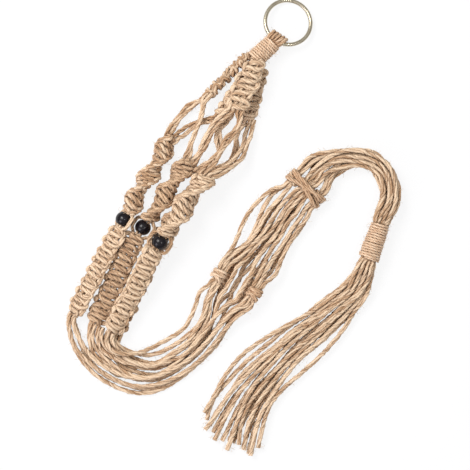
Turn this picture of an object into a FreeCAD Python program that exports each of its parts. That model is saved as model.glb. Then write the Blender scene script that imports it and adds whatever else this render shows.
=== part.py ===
"""Hanging macrame planter of four-millimetre jute, lying flat as it comes out of its packet.

Eight cords folded over a metal ring make sixteen strands. From the ring down they are whipped
together, tied into four top sennits, opened into a net of eight pairs, gathered into four legs
(a half-knot spiral, a wooden bead and a flat square-knot sennit each), run loose to two rows of
knots that form the pot cradle, and end in a whipped tassel. Lengths are in millimetres, +Z is up
and z = 0 is the surface the planter lies on. Points are given on a layout sheet whose own origin
is near the middle of the planter; SHEET_SHIFT moves every piece to the model's origin.
"""
import FreeCAD
import Part
import math
import os

import Sketcher

from FreeCAD import Placement, Rotation, Vector

document = FreeCAD.newDocument("MacramePlanter")

# ---------------------------------------------------------------- driving dimensions
DIMENSIONS = (
    ("cord_diameter", 4.0, "jute cord"),
    ("lane_pitch", 4.3, "centre to centre of cords that lie side by side"),
    ("pile_rise", 0.93, "row on row in a pile of cords, as a share of that spacing"),
    ("ring_outside_diameter", 50.0, "hanging ring"),
    ("ring_wire", 4.0, "wire the ring is bent from"),
    ("ring_sag_in_eye", 1.3, "ring centreline to swing axis at the middle of the eye"),
    ("eye_clearance", 0.4, "round the wire where it turns in the eye"),
    ("eye_width", 18.0, "cords side by side over the ring"),
    ("eye_to_wrap", 5.0, "swing axis to the first turn of the upper wrap"),
    ("axis_height", 12.9, "middle of the upper wrap above the surface"),
    ("wrap_twine", 2.7, "twine diameter, and the pitch of the turns"),
    ("upper_wrap_turns", 9, "turns on the upper wrap"),
    ("upper_core_diameter", 14.4, "squeezed strands inside the upper wrap"),
    ("upper_flare_diameter", 21.0, "strands spreading below the upper wrap"),
    ("lower_wrap_turns", 14, "turns on the lower wrap"),
    ("lower_core_diameter", 16.0, "squeezed strands inside the lower wrap"),
    ("lower_flare_diameter", 23.4, "strands spreading at both mouths of the lower wrap"),
    ("flare_length", 4.0, "length of each flare"),
    ("wrap_fit", 0.05, "between a wrap and the strands in it"),
    ("sennit_width", 18.6, "flat square-knot sennit"),
    ("sennit_thickness", 8.2, "flat square-knot sennit"),
    ("sennit_waist", 2.4, "how far a sennit's edges draw in between knots"),
    ("half_knot_seat", 0.3, "how far a half knot of a spiral seats into the one before it"),
    ("sennit_neck", 9.5, "width where the strands enter or leave a sennit in a bundle"),
    ("spiral_width", 20.0, "half-knot spiral sennit"),
    ("spiral_thickness", 9.6, "half-knot spiral sennit"),
    ("spiral_twist", 31.0, "turn of one half knot on the next, in degrees, to the nearest half turn"),
    ("half_knot_pitch", 5.1, "one half knot along a sennit"),
    ("bead_diameter", 16.0, "wooden bead"),
    ("bead_bore", 8.0, "hole through the bead"),
    ("bead_flat", 0.5, "gap between a bead and the sennits above and below it"),
    ("bead_cord_diameter", 3.7, "cord drawn tight through and round a bead"),
    ("bead_cord_clearance", 0.45, "between a bead and the cords that pass round it"),
    ("bead_cord_roll", 25.0, "those two cords lie this far out of level, in degrees"),
    ("bead_neck", 18.4, "width of a sennit where it meets a bead"),
    ("knot_length", 18.0, "cradle square knot, along the strands"),
    ("gather_length", 16.0, "cradle gathering knot, along the strands"),
    ("knot_thickness", 9.0, "cradle knot with its strands in one row"),
    ("knot_border", 0.8, "cradle knot beyond its outer strands"),
    ("knot_bar", 7.0, "width of the bar that crosses a cradle knot"),
    ("knot_bar_rise", 0.6, "how far that bar stands proud on top"),
    ("lead_in", 6.0, "straight cord before and after a cradle knot"),
    ("leg_lead", 5.0, "straight cord below a leg"),
    ("net_lead", 3.4, "straight cord below a top sennit"),
    ("fan_spread", 1.2, "how far the rows open where the tassel begins, as a share of their width"),
    ("ring_swing_clearance", 0.3, "least gap between the ring and the surface"),
    ("sheet_shift_x", 2.02, "layout sheet to model origin"),
    ("sheet_shift_y", -8.1, "layout sheet to model origin"),
)

sheet = document.addObject("Spreadsheet::Sheet", "Dimensions")
for row, (alias, value, meaning) in enumerate(DIMENSIONS, start=1):
    sheet.set("A%d" % row, alias)
    sheet.set("B%d" % row, str(value))
    sheet.set("C%d" % row, meaning)
    sheet.setAlias("B%d" % row, alias)
document.recompute()


def size(alias):
    """Value of a driving dimension, read from the sheet."""
    return float(getattr(sheet, alias))


UP = Vector(0, 0, 1)
SHEET_SHIFT = Vector(size("sheet_shift_x"), size("sheet_shift_y"), 0)
parts = []


def keep(feature, label):
    """Label a finished sub-part and put it in the list that is checked and written."""
    feature.Label = label
    parts.append(feature)
    return feature


def keep_shape(label, shape):
    """Add a sub-part whose shape was made in layout coordinates."""
    feature = document.addObject("Part::Feature", label)
    feature.Shape = shape
    feature.Placement = Placement(SHEET_SHIFT, Rotation())
    return keep(feature, label)


def heading(degrees):
    """Unit vector in the layout plane, counted from +X towards +Y."""
    angle = math.radians(degrees)
    return Vector(math.cos(angle), math.sin(angle), 0)


def left_of(direction):
    """Horizontal unit vector to the left of a direction of travel."""
    return UP.cross(direction).normalize()


def frame_along(start, direction):
    """Placement whose Z runs along direction and whose Y is as near up as it can be."""
    across = direction.cross(UP).normalize()
    upright = across.cross(direction).normalize()
    turn = Rotation(across * -1, upright, direction, "ZXY")
    return Placement(start, turn)


# ---------------------------------------------------------------- cords
smallest_radius = {}


def true_corners(points):
    """The route without points that lie on a straight line between their neighbours."""
    kept = [points[0]]
    for corner, after in zip(points[1:], points[2:]):
        if (corner - kept[-1]).getAngle(after - corner) > math.radians(0.5):
            kept.append(corner)
    return kept + [points[-1]]


def cord_path(route):
    """Straight runs joined by tangent arcs, as large as the two runs at each corner allow."""
    points = true_corners(route)
    edges = []
    radii = []
    reached = points[0]
    for before, corner, after in zip(points, points[1:], points[2:]):
        arriving = (corner - before).normalize()
        leaving = (after - corner).normalize()
        turn = arriving.getAngle(leaving)
        shorter_run = min((corner - before).Length, (after - corner).Length)
        cut_back = 0.45 * shorter_run
        radii.append(cut_back / math.tan(turn / 2))
        arc_start = corner - arriving * cut_back
        arc_end = corner + leaving * cut_back
        bisector = (leaving - arriving).normalize()
        radius = radii[-1]
        centre = corner + bisector * (radius / math.cos(turn / 2))
        arc_middle = centre - bisector * radius
        edges.append(Part.LineSegment(reached, arc_start).toShape())
        edges.append(Part.Arc(arc_start, arc_middle, arc_end).toShape())
        reached = arc_end
    edges.append(Part.LineSegment(reached, points[-1]).toShape())
    return Part.Wire(edges), min(radii, default=0.0)


def sweep_cord(name, points, diameter_alias):
    """A cord along its route. Cords are drawn six-sided, which keeps forty strands light."""
    outline = document.addObject("Part::RegularPolygon", name + "_outline")
    outline.Polygon = 6
    outline.setExpression("Circumradius", "Dimensions.%s / 2" % diameter_alias)
    outline.Placement = frame_along(points[0], (points[1] - points[0]).normalize())
    path, radius = cord_path(points)
    route = document.addObject("Part::Feature", name + "_route")
    route.Shape = path
    cord = document.addObject("Part::Sweep", name)
    cord.Sections = [outline]
    cord.Spine = (route, [])
    cord.Solid = True
    cord.Frenet = False
    return cord, path.Length, radius


def check_volume(name, cord, diameter_alias, length):
    """Warn where a cord's volume is not its section times its length."""
    section = 1.5 * math.sqrt(3) * (size(diameter_alias) / 2) ** 2
    error = cord.Shape.Volume / (section * length) - 1
    if abs(error) > 0.02:
        print("volume of %s is off by %.1f %%" % (name, 100 * error))


def keep_cords(label, routes, alias="cord_diameter"):
    """One node for the stretches of cord that belong together."""
    made = []
    for number, route in enumerate(routes, start=1):
        name = "%s_stretch_%d" % (label, number)
        made.append((name,) + sweep_cord(name, route, alias))
    document.recompute()
    for name, cord, length, _ in made:
        check_volume(name, cord, alias, length)
    bends = [radius for _, _, _, radius in made if radius > 0]
    smallest_radius[label] = min(bends, default=0.0)
    together = document.addObject("Part::Compound", label)
    together.Links = [cord for _, cord, _, _ in made]
    together.Placement = Placement(SHEET_SHIFT, Rotation())
    return keep(together, label)


# ---------------------------------------------------------------- turned and padded sub-parts
def add_outline(body, name, plane_role, corners):
    """Closed outline on one of the body's own planes, each corner bound to two expressions."""
    sketch = body.newObject("Sketcher::SketchObject", name)
    plane = [item for item in body.Origin.OriginFeatures if item.Role == plane_role][0]
    sketch.AttachmentSupport = [(plane, "")]
    sketch.MapMode = "FlatFace"
    values = [[float(sheet.evalExpression(text)) for text in corner] for corner in corners]
    for first, second in zip(values, values[1:] + values[:1]):
        sketch.addGeometry(Part.LineSegment(Vector(*first, 0), Vector(*second, 0)))
    for index in range(len(corners)):
        following = (index + 1) % len(corners)
        sketch.addConstraint(Sketcher.Constraint("Coincident", index, 2, following, 1))
    for index, corner in enumerate(corners):
        for kind, axis, text, value in (("DistanceX", -2, corner[0], values[index][0]),
                                        ("DistanceY", -1, corner[1], values[index][1])):
            bind_corner(sketch, index, kind, axis, text, value)
    return sketch


def bind_corner(sketch, index, kind, axis, text, value):
    """Hold one coordinate of a corner at an expression's value."""
    if abs(value) < 1e-9:
        sketch.addConstraint(Sketcher.Constraint("PointOnObject", index, 1, axis))
        return
    ends = (-1, 1, index, 1) if value > 0 else (index, 1, -1, 1)
    number = sketch.addConstraint(Sketcher.Constraint(kind, *ends, abs(value)))
    signed = text if value > 0 else "-(%s)" % text
    sketch.setExpression("Constraints[%d]" % number, signed)


def turned_body(label, corners, placement):
    """Body whose outline on the XZ plane is turned once round Z."""
    body = document.addObject("PartDesign::Body", label)
    sketch = add_outline(body, label + "_outline", "XZ_Plane", corners)
    document.recompute()
    turned = body.newObject("PartDesign::Revolution", label + "_turned")
    turned.Profile = sketch
    turned.ReferenceAxis = (sketch, ["V_Axis"])
    turned.Angle = 360
    body.Placement = placement
    return body, turned


# ---------------------------------------------------------------- ring and its eye
RING_CENTRE = Vector(53, 212.6, 0)
RING_BEARING = heading(235.4)

ring_radius = size("ring_outside_diameter") / 2 - size("ring_wire") / 2
pivot_reach = ring_radius - size("ring_sag_in_eye")
wrap_start_height = size("axis_height")
ring_drop = wrap_start_height - size("ring_wire") / 2 - size("ring_swing_clearance")
ring_tilt = math.asin(ring_drop / (pivot_reach + ring_radius))

SWING_AXIS_POINT = RING_CENTRE + RING_BEARING * pivot_reach * math.cos(ring_tilt) + UP * wrap_start_height
SWING_AXIS = left_of(RING_BEARING)
WRAP_HEADING = heading(223.4)


def make_ring():
    """Closed metal ring, tilted so that its far side rests on the surface."""
    ring = document.addObject("Part::Torus", "hanging_ring")
    ring.setExpression("Radius1", "Dimensions.ring_outside_diameter / 2 - Dimensions.ring_wire / 2")
    ring.setExpression("Radius2", "Dimensions.ring_wire / 2")
    outward = RING_BEARING * (-math.cos(ring_tilt)) - UP * math.sin(ring_tilt)
    centre = SWING_AXIS_POINT + outward * pivot_reach
    normal = outward.cross(SWING_AXIS)
    ring.Placement = Placement(SHEET_SHIFT + centre, Rotation(UP, normal))
    keep(ring, "hanging_ring")


def make_eye():
    """Cords folded over the ring: a rounded block whose tunnel is the ring's bearing."""
    tunnel_size = "(Dimensions.ring_wire / 2 + Dimensions.ring_sag_in_eye + Dimensions.eye_clearance)"
    outer_size = "(%s + Dimensions.cord_diameter)" % tunnel_size
    fold = document.addObject("Part::Cylinder", "ring_eye_fold")
    fold.setExpression("Radius", outer_size)
    fold.setExpression("Height", "Dimensions.eye_width")
    fold.Angle = 180
    fold.Placement = Placement(Vector(0, 0, 0), Rotation(UP, 90))
    legs = document.addObject("Part::Box", "ring_eye_legs")
    legs.setExpression("Length", "Dimensions.eye_to_wrap")
    legs.setExpression("Width", "2 * " + outer_size)
    legs.setExpression("Height", "Dimensions.eye_width")
    legs.setExpression("Placement.Base.y", "-" + outer_size)
    block = document.addObject("Part::Fuse", "ring_eye_block")
    block.Base = fold
    block.Tool = legs
    tunnel = document.addObject("Part::Cylinder", "ring_eye_tunnel")
    tunnel.setExpression("Radius", tunnel_size)
    tunnel.setExpression("Height", "3 * Dimensions.eye_width")
    across = left_of(WRAP_HEADING) * -1
    corner = SWING_AXIS_POINT - across * (size("eye_width") / 2)
    stand = Placement(corner, Rotation(WRAP_HEADING, UP, across, "ZXY"))
    bore = Placement(SWING_AXIS_POINT - SWING_AXIS * (1.5 * size("eye_width")), Rotation(UP, SWING_AXIS))
    tunnel.Placement = stand.inverse().multiply(bore)
    eye = document.addObject("Part::Cut", "ring_eye")
    eye.Base = block
    eye.Tool = tunnel
    eye.Placement = Placement(SHEET_SHIFT, Rotation()).multiply(stand)
    keep(eye, "ring_eye")


# ---------------------------------------------------------------- wraps and the strands in them
def make_wrap(label, start, direction, core_alias, turns_alias):
    """Whipping: one ridged turn of twine round the bundle, repeated along the bundle's axis."""
    bore = "Dimensions.%s / 2 + Dimensions.wrap_fit" % core_alias
    valley = bore + " + 0.72 * Dimensions.wrap_twine"
    crest = bore + " + Dimensions.wrap_twine"
    corners = ((bore, "0"), (valley, "0"), (crest, "Dimensions.wrap_twine / 2"),
               (valley, "Dimensions.wrap_twine"), (bore, "Dimensions.wrap_twine"))
    body, turn = turned_body(label, corners, frame_along(start + SHEET_SHIFT, direction))
    along = [item for item in body.Origin.OriginFeatures if item.Role == "Z_Axis"][0]
    turns = body.newObject("PartDesign::LinearPattern", label + "_turns")
    turns.Originals = [turn]
    turns.Direction = (along, [""])
    body.Tip = turns
    turns.setExpression("Occurrences", "Dimensions." + turns_alias)
    turns.setExpression("Length", "(Dimensions.%s - 1) * Dimensions.wrap_twine" % turns_alias)
    keep(body, label)


def make_core(label, start, direction, core_alias, flare_alias, turns_alias, flare_at_start):
    """Strands squeezed together inside a whipping, spreading again beyond its mouths."""
    squeezed = "Dimensions.%s / 2" % core_alias
    spread = "Dimensions.%s / 2" % flare_alias
    flare = "Dimensions.flare_length"
    length = "Dimensions.%s * Dimensions.wrap_twine" % turns_alias
    end = "%s + %s" % (length, flare)
    corners = [("0", "0"), (squeezed, "0")]
    if flare_at_start:
        corners = [("0", "-" + flare), (spread, "-" + flare), (squeezed, "0")]
    corners += [(squeezed, length), (spread, end), ("0", end)]
    body, _ = turned_body(label, corners, frame_along(start + SHEET_SHIFT, direction))
    keep(body, label)


UPPER_WRAP_START = SWING_AXIS_POINT + WRAP_HEADING * size("eye_to_wrap")

LOWER_WRAP_START = Vector(145.3, 11.3, 13.2)
LOWER_WRAP_HEADING = heading(250.7)
lower_wrap_length = size("lower_wrap_turns") * size("wrap_twine")


# ---------------------------------------------------------------- sennits
def sennit_section(centre, direction, roll, width, thickness):
    """Eight-sided section of a sennit: a flat band with its corners taken off."""
    stand = frame_along(centre, direction)
    corner = thickness * 0.3
    half_w = width / 2
    half_t = thickness / 2
    outline = [
        (half_w, half_t - corner), (half_w - corner, half_t),
        (corner - half_w, half_t), (-half_w, half_t - corner),
        (-half_w, corner - half_t), (corner - half_w, -half_t),
        (half_w - corner, -half_t), (half_w, corner - half_t),
    ]
    cos_roll = math.cos(math.radians(roll))
    sin_roll = math.sin(math.radians(roll))
    corners = []
    for x, y in outline:
        corners.append(stand.multVec(Vector(x * cos_roll - y * sin_roll, x * sin_roll + y * cos_roll, 0)))
    return Part.makePolygon(corners + corners[:1])


def sennit_solid(start, end, width, thickness, roll, necks):
    """A flat sennit from start to end: a swelling for each half knot, drawn in between them.

    Half knots are worked first to one side and then to the other, so its edges bulge by turns."""
    axis = end - start
    direction = Vector(axis).normalize()
    half_knots = round(axis.Length / size("half_knot_pitch"))
    pitch = axis.Length / half_knots
    waist = size("sennit_waist")
    sideways = Rotation(direction, roll).multVec(left_of(direction))
    sections = [sennit_section(start, direction, roll, necks[0], thickness - waist / 2)]
    for number in range(half_knots):
        side = (1 if number % 2 else -1) * waist / 4
        middle = start + direction * (pitch * (number + 0.5)) + sideways * side
        sections.append(sennit_section(middle, direction, roll, width, thickness))
        if number < half_knots - 1:
            gap = start + direction * (pitch * (number + 1))
            sections.append(sennit_section(gap, direction, roll, width - waist, thickness - waist / 2))
    sections.append(sennit_section(end, direction, roll, necks[1], thickness - waist / 2))
    return Part.makeLoft(sections, True, True)


def spiral_solid(start, end, width, thickness, last_roll, twist, necks):
    """A half-knot sennit: one rounded block for each half knot, each turned a step further."""
    axis = end - start
    direction = Vector(axis).normalize()
    half_knots = round(axis.Length / size("half_knot_pitch"))
    pitch = axis.Length / half_knots
    waist = size("sennit_waist")
    drawn = (width - waist, thickness - waist / 2)
    seat = size("half_knot_seat")
    blocks = []
    for number in range(half_knots):
        angle = last_roll - twist * (half_knots - 1 - number)
        first = number == 0
        last = number == half_knots - 1
        near = start + direction * (pitch * number - (0 if first else seat))
        middle = start + direction * (pitch * (number + 0.5))
        far = start + direction * (pitch * (number + 1))
        sections = [
            sennit_section(near, direction, angle, necks[0] if first else drawn[0], drawn[1]),
            sennit_section(middle, direction, angle, width, thickness),
            sennit_section(far, direction, angle, necks[1] if last else drawn[0], drawn[1]),
        ]
        blocks.append(Part.makeLoft(sections, True, True))
    return blocks[0].multiFuse(blocks[1:])


def row_neck():
    """Width of a sennit's end where four cords leave it side by side."""
    return 3 * size("lane_pitch") + size("cord_diameter")


def make_flat_sennit(label, start, end, roll, necks):
    """Flat square-knot sennit."""
    width = size("sennit_width")
    thickness = size("sennit_thickness")
    keep_shape(label, sennit_solid(start, end, width, thickness, roll, necks))


def make_spiral_sennit(label, start, end):
    """Half-knot sennit, which turns on itself as it is tied and meets its bead square on."""
    width = size("spiral_width")
    thickness = size("spiral_thickness")
    roll = size("bead_cord_roll")
    half_knots = round((end - start).Length / size("half_knot_pitch"))
    half_turns = round((size("spiral_twist") * half_knots - roll) / 180)
    twist = (180 * half_turns + roll) / (half_knots - 1)
    necks = (row_neck(), size("bead_neck"))
    keep_shape(label, spiral_solid(start, end, width, thickness, roll, twist, necks))


TOP_SENNITS = {
    # label: (start, end, roll in degrees)
    "top_sennit_front": (Vector(19, 168.5, 21.5), Vector(1, 125, 21.5), 0),
    "top_sennit_left": (Vector(10.6, 177.2, 10), Vector(-27.4, 139.4, 10), 90),
    "top_sennit_back_left": (Vector(20, 166, 12.9), Vector(-13, 117, 12.9), 0),
    "top_sennit_back_right": (Vector(25.1, 161.8, 4.3), Vector(12, 113, 4.3), 0),
}

LEGS = {
    # number: (spiral start, spiral end, flat sennit's end, roll of the flat sennit)
    1: (Vector(-63, 98, 10.7), Vector(-107, 23, 10.7), Vector(-162, -78, 9.4), 40),
    2: (Vector(-45, 75, 10.7), Vector(-87.1, 14.5, 10.4), Vector(-138, -90, 4.5), 0),
    3: (Vector(-29, 58, 30), Vector(-69.5, -0.3, 29), Vector(-123, -97, 13.4), 0),
    4: (Vector(-31, 62, 10.7), Vector(-69, 4, 10.4), Vector(-119.6, -96.2, 4.4), 0),
}

# ---------------------------------------------------------------- legs
def bead_centre(number):
    """A leg's bead sits just past the spiral, on its axis."""
    start, end = LEGS[number][:2]
    direction = (end - start).normalize()
    return end + direction * (size("bead_diameter") / 2 + size("bead_flat"))


def flat_start(number):
    """The flat sennit begins as far below the bead as the spiral ends above it."""
    start, end = LEGS[number][:2]
    direction = (end - start).normalize()
    return end + direction * (size("bead_diameter") + 2 * size("bead_flat"))


def make_bead(number):
    """Round wooden bead with its ends faced flat and a hole along the leg."""
    ball = document.addObject("Part::Sphere", "bead_%d_ball" % number)
    ball.setExpression("Radius", "Dimensions.bead_diameter / 2")
    ball.setExpression("Angle1", "-acos(1.15 * Dimensions.bead_bore / Dimensions.bead_diameter)")
    ball.setExpression("Angle2", "acos(1.15 * Dimensions.bead_bore / Dimensions.bead_diameter)")
    hole = document.addObject("Part::Cylinder", "bead_%d_hole" % number)
    hole.setExpression("Radius", "Dimensions.bead_bore / 2")
    hole.setExpression("Height", "2 * Dimensions.bead_diameter")
    hole.Placement = Placement(Vector(0, 0, -size("bead_diameter")), Rotation())
    bead = document.addObject("Part::Cut", "bead_%d" % number)
    bead.Base = ball
    bead.Tool = hole
    start, end = LEGS[number][:2]
    stand = frame_along(bead_centre(number) + SHEET_SHIFT, (end - start).normalize())
    bead.Placement = stand
    keep(bead, "bead_%d" % number)


def make_bead_cords(number):
    """Two fillers through a bead and the two working cords that pass round it."""
    start, end = LEGS[number][:2]
    direction = (end - start).normalize()
    side = Rotation(direction, size("bead_cord_roll")).multVec(left_of(direction))
    half = (flat_start(number) - end).Length / 2
    centre = bead_centre(number)
    filler_away = size("lane_pitch") / 2 - 0.25
    cord_radius = size("bead_cord_diameter") / 2
    bulge = size("bead_diameter") / 2 + cord_radius + size("bead_cord_clearance")
    start_away = size("bead_neck") / 2 - cord_radius + 0.3
    around = ((0.94 * half, start_away), (0.7 * half, 0.82 * bulge), (0.29 * half, bulge * 1.02),
              (-0.29 * half, bulge * 1.02), (-0.7 * half, 0.82 * bulge), (-0.94 * half, start_away))
    routes = []
    for sign in (-1, 1):
        step = side * (sign * filler_away)
        routes.append([end + step, flat_start(number) + step])
    for sign in (-1, 1):
        routes.append([centre - direction * along + side * (sign * away) for along, away in around])
    keep_cords("bead_cords_%d" % number, routes, "bead_cord_diameter")


# ---------------------------------------------------------------- stations that cords pass through
class Station:
    """A place that cords pass through: its middle, their direction, and where each one lies."""

    def __init__(self, middle, along, length, strands):
        self.middle = middle
        self.along = along.normalize()
        self.left = left_of(self.along)
        self.rise = self.along.cross(self.left)
        self.length = length
        self.strands = strands

    def place(self, strand, distance):
        """Point on a strand at a distance along its direction from the middle."""
        across, above = self.strands[strand]
        return self.middle + self.along * distance + self.left * across + self.rise * above


def row_of_four(layer, lanes):
    """Four strands side by side."""
    pitch = size("lane_pitch")
    return {"%s_%d" % (layer, lane): ((1.5 - index) * pitch, 0) for index, lane in enumerate(lanes)}


def two_by_two(lanes):
    """Two strands on two strands."""
    half = size("lane_pitch") / 2
    strands = {}
    for index, lane in enumerate(lanes):
        across = half if index == 0 else -half
        strands["top_%d" % lane] = (across, half)
        strands["bottom_%d" % lane] = (across, -half)
    return strands


def leg_direction(number):
    """Direction of a leg's flat sennit, towards its end."""
    return LEGS[number][2] - flat_start(number)


half_pitch = size("lane_pitch") / 2
LEG_ENDS = {
    1: Station(LEGS[1][2], leg_direction(1), 0, two_by_two((6, 7))),
    2: Station(LEGS[2][2], leg_direction(2), 0, row_of_four("top", (2, 3, 4, 5))),
    3: Station(LEGS[3][2], leg_direction(3), 0, {
        "top_1": (half_pitch, half_pitch), "top_0": (-half_pitch, half_pitch),
        "bottom_0": (half_pitch, -half_pitch), "bottom_1": (-half_pitch, -half_pitch)}),
    4: Station(LEGS[4][2], leg_direction(4), 0, row_of_four("bottom", (2, 3, 4, 5))),
}

# ---------------------------------------------------------------- net between top sennits and legs
# label: (top sennit, where the pair leaves it, middle of the pair's route, leg, side of the leg).
# Where a pair leaves or enters is in pair spacings to the left of travel, and above.
NET = {
    "net_left_to_leg_1": ("top_sennit_left", (0, -0.55), (
        (-36, 134, 5), (-46, 129, 5), (-55, 119, 6), (-62, 109, 8)), 1, -0.5),
    "net_back_left_to_leg_1": ("top_sennit_back_left", (-0.5, 0), (
        (-24, 115, 10.5), (-33.5, 113.5, 8.5), (-44, 109, 8), (-52, 102, 9)), 1, 0.5),
    "net_left_to_leg_2": ("top_sennit_left", (0, 0.55), (
        (-31.5, 130.5, 15), (-33, 120, 16), (-37, 109, 16), (-41, 99, 13.5), (-45, 88, 11.5)), 2, -0.5),
    "net_front_to_leg_2": ("top_sennit_front", (-0.5, 0), (
        (-11, 118, 21), (-20, 110, 19.5), (-26, 100, 17), (-31, 89, 14), (-36, 80, 11.8)), 2, 0.5),
    "net_front_to_leg_3": ("top_sennit_front", (0.5, 0), (
        (5, 112, 21.5), (0, 102, 22), (-8, 94, 23.5), (-14, 84, 26), (-21, 73, 28.5)), 3, -0.5),
    "net_back_left_to_leg_4": ("top_sennit_back_left", (0.5, 0), (
        (-17, 106, 11.5), (-17, 95, 10), (-14, 85, 9.5), (-19, 76, 10), (-26, 71, 10.7)), 4, -0.5),
    "net_back_right_to_leg_3": ("top_sennit_back_right", (0.5, 0), (
        (13, 100, 7), (10, 89, 11), (6, 79, 15.5), (-3, 70, 21), (-14, 62, 27)), 3, 0.5),
    "net_back_right_to_leg_4": ("top_sennit_back_right", (-0.5, 0), (
        (2, 104, 3.6), (1, 93, 3.6), (2, 83, 4.4), (-5, 73, 6.6), (-16, 65, 9)), 4, 0.5),
}


def side_step(points, away):
    """The route moved sideways in plan by the given distance, as a parallel cord runs."""
    moved = []
    for index, point in enumerate(points):
        before = points[max(index - 1, 0)]
        after = points[min(index + 1, len(points) - 1)]
        travel = after - before
        travel.z = 0
        moved.append(point + left_of(travel) * away)
    return moved


def make_net_pair(label, sennit, leaving, corners, leg, entering):
    """Two cords side by side from a top sennit to a leg."""
    pitch = size("lane_pitch")
    spacing = 2 * pitch
    sennit_start, sennit_end, _ = TOP_SENNITS[sennit]
    down = (sennit_end - sennit_start).normalize()
    start = sennit_end + left_of(down) * (leaving[0] * spacing) + UP * (leaving[1] * spacing)
    into = (LEGS[leg][1] - LEGS[leg][0]).normalize()
    end = LEGS[leg][0] + left_of(into) * (entering * spacing)
    lead = size("net_lead")
    middle = [start, start + down * lead] + [Vector(*corner) for corner in corners]
    middle += [end - into * (1.1 * lead), end]
    routes = [side_step(middle, -pitch / 2), side_step(middle, pitch / 2)]
    keep_cords(label, routes)


# ---------------------------------------------------------------- sixteen long strands
# A strand is named by its layer, top or bottom as the planter lies, and its lane, 0 to 7. Lane 0
# is on the inside of the bottom bend. Its route is: the bend, from the leg's end to the first
# cradle knot; the rise, from that knot to the gathering knot; the arch to the lower wrap; and
# the tassel.
BEND = {
    "top_0": ((-130, -108), (-124, -116.5), (-112, -119.5), (-97, -119), (-82, -113),
              (-65, -105), (-50, -95), (-41, -82), (-38, -68), (-35, -56)),
    "top_1": ((-121.5, -107.5), (-116, -116), (-108, -122.5), (-97, -125), (-82, -126),
              (-66, -118), (-50, -108), (-36, -94), (-30, -78), (-28, -64)),
    "top_2": ((-134.5, -103.5), (-129.5, -114), (-114.2, -125.5), (-98.5, -130), (-80, -131),
              (-63, -123), (-46, -112), (-32, -97), (-26, -82), (-23, -67)),
    "top_3": ((-138.8, -104.5), (-133.3, -116.5), (-117.2, -128.7), (-100, -134.2), (-81, -136),
              (-62, -128), (-44, -116), (-29, -100), (-21, -85), (-18, -70)),
    "top_4": ((-143.2, -105), (-137, -119), (-120, -132), (-101.5, -138.5), (-82, -141),
              (-61, -133), (-41, -120), (-25, -103), (-13, -86), (-2, -73)),
    "top_5": ((-147.6, -105), (-140.8, -121.2), (-123, -135.3), (-103, -142.8), (-83, -146),
              (-60, -138), (-38.5, -124.5), (-22, -107), (-8.5, -89.5), (2, -76)),
    "top_6": ((-158.5, -96), (-151, -113.5), (-136.5, -132.5), (-110, -147), (-84, -151),
              (-59, -143), (-36.5, -128.5), (-19, -110.5), (-5, -92.5), (6, -79)),
    "top_7": ((-167, -94), (-160, -113), (-143.5, -134), (-113, -151.5), (-85, -156),
              (-57, -148), (-34, -132.5), (-16, -114), (-1, -95.5), (10, -82)),
    "bottom_0": ((-120.5, -107.5), (-110, -115), (-96, -119.5), (-82, -119), (-64, -111),
                 (-47, -100), (-34, -86), (-30, -72), (-27, -61)),
    "bottom_1": ((-127, -108), (-119, -115.5), (-107, -121.5), (-97, -125), (-81, -131),
                 (-63, -123), (-46, -111), (-31, -96), (-27, -81), (-24, -66)),
    "bottom_2": ((-118, -111), (-118.5, -122), (-109.5, -131), (-96, -134.5), (-79, -136),
                 (-61, -128), (-43, -115), (-28, -99), (-21, -84), (-19, -68)),
    "bottom_3": ((-123, -110), (-124, -122.5), (-113, -134.5), (-98, -139), (-79, -141),
                 (-59, -133), (-40, -119), (-25, -102), (-17, -86), (-15, -71)),
    "bottom_4": ((-128.5, -108.5), (-130, -122.5), (-117, -138), (-100, -143.3), (-79, -146),
                 (-57, -137), (-37, -123), (-21, -105), (-8.5, -87), (-7, -74)),
    "bottom_5": ((-133.5, -107), (-136, -123), (-121.5, -141.5), (-102, -147.6), (-80, -151),
                 (-55, -142), (-34, -126.5), (-17.5, -108.5), (-4.5, -90.5), (-3, -76)),
    "bottom_6": ((-158, -97), (-151.5, -115), (-137, -136), (-111, -151.7), (-83, -155.5),
                 (-55, -147), (-32, -131), (-15, -112), (-2, -94), (2, -79)),
    "bottom_7": ((-166, -96), (-159.5, -117), (-143, -138.5), (-114, -156.5), (-83, -160),
                 (-53, -151), (-29, -134), (-12, -115), (1, -97), (6, -81)),
}
BEND_HEIGHTS = {
    # height of each point of the bend
    "top_0": (16, 16, 15.4, 10.8, 7.4, 6.6, 6.6, 7.2, 9.0, 11.5),
    "top_1": (14.6, 11.8, 9.6, 7.2, 6.6, 6.6, 6.6, 7.2, 9.0, 11.5),
    "top_middle": (6.9, 6.7, 6.6, 6.6, 6.5, 6.5, 6.5, 7.4, 9.4, 12.0),
    "top_outer": (9.6, 7.6, 6.6, 6.5, 6.5, 6.5, 6.5, 7.4, 9.4, 12.0),
    "bottom_0": (10, 7.2, 4, 2.4, 2.2, 2.2, 2.4, 3.0, 4.0),
    "bottom_1": (9.8, 7.8, 4.9, 2.6, 2.2, 2.2, 2.2, 2.4, 3.0, 4.0),
    "bottom_middle": (2.7, 2.2, 2.2, 2.2, 2.2, 2.2, 2.2, 2.4, 3.0, 4.0),
    "bottom_outer": (5.2, 3.2, 2.3, 2.2, 2.2, 2.2, 2.2, 2.4, 3.0, 4.0),
}
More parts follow.
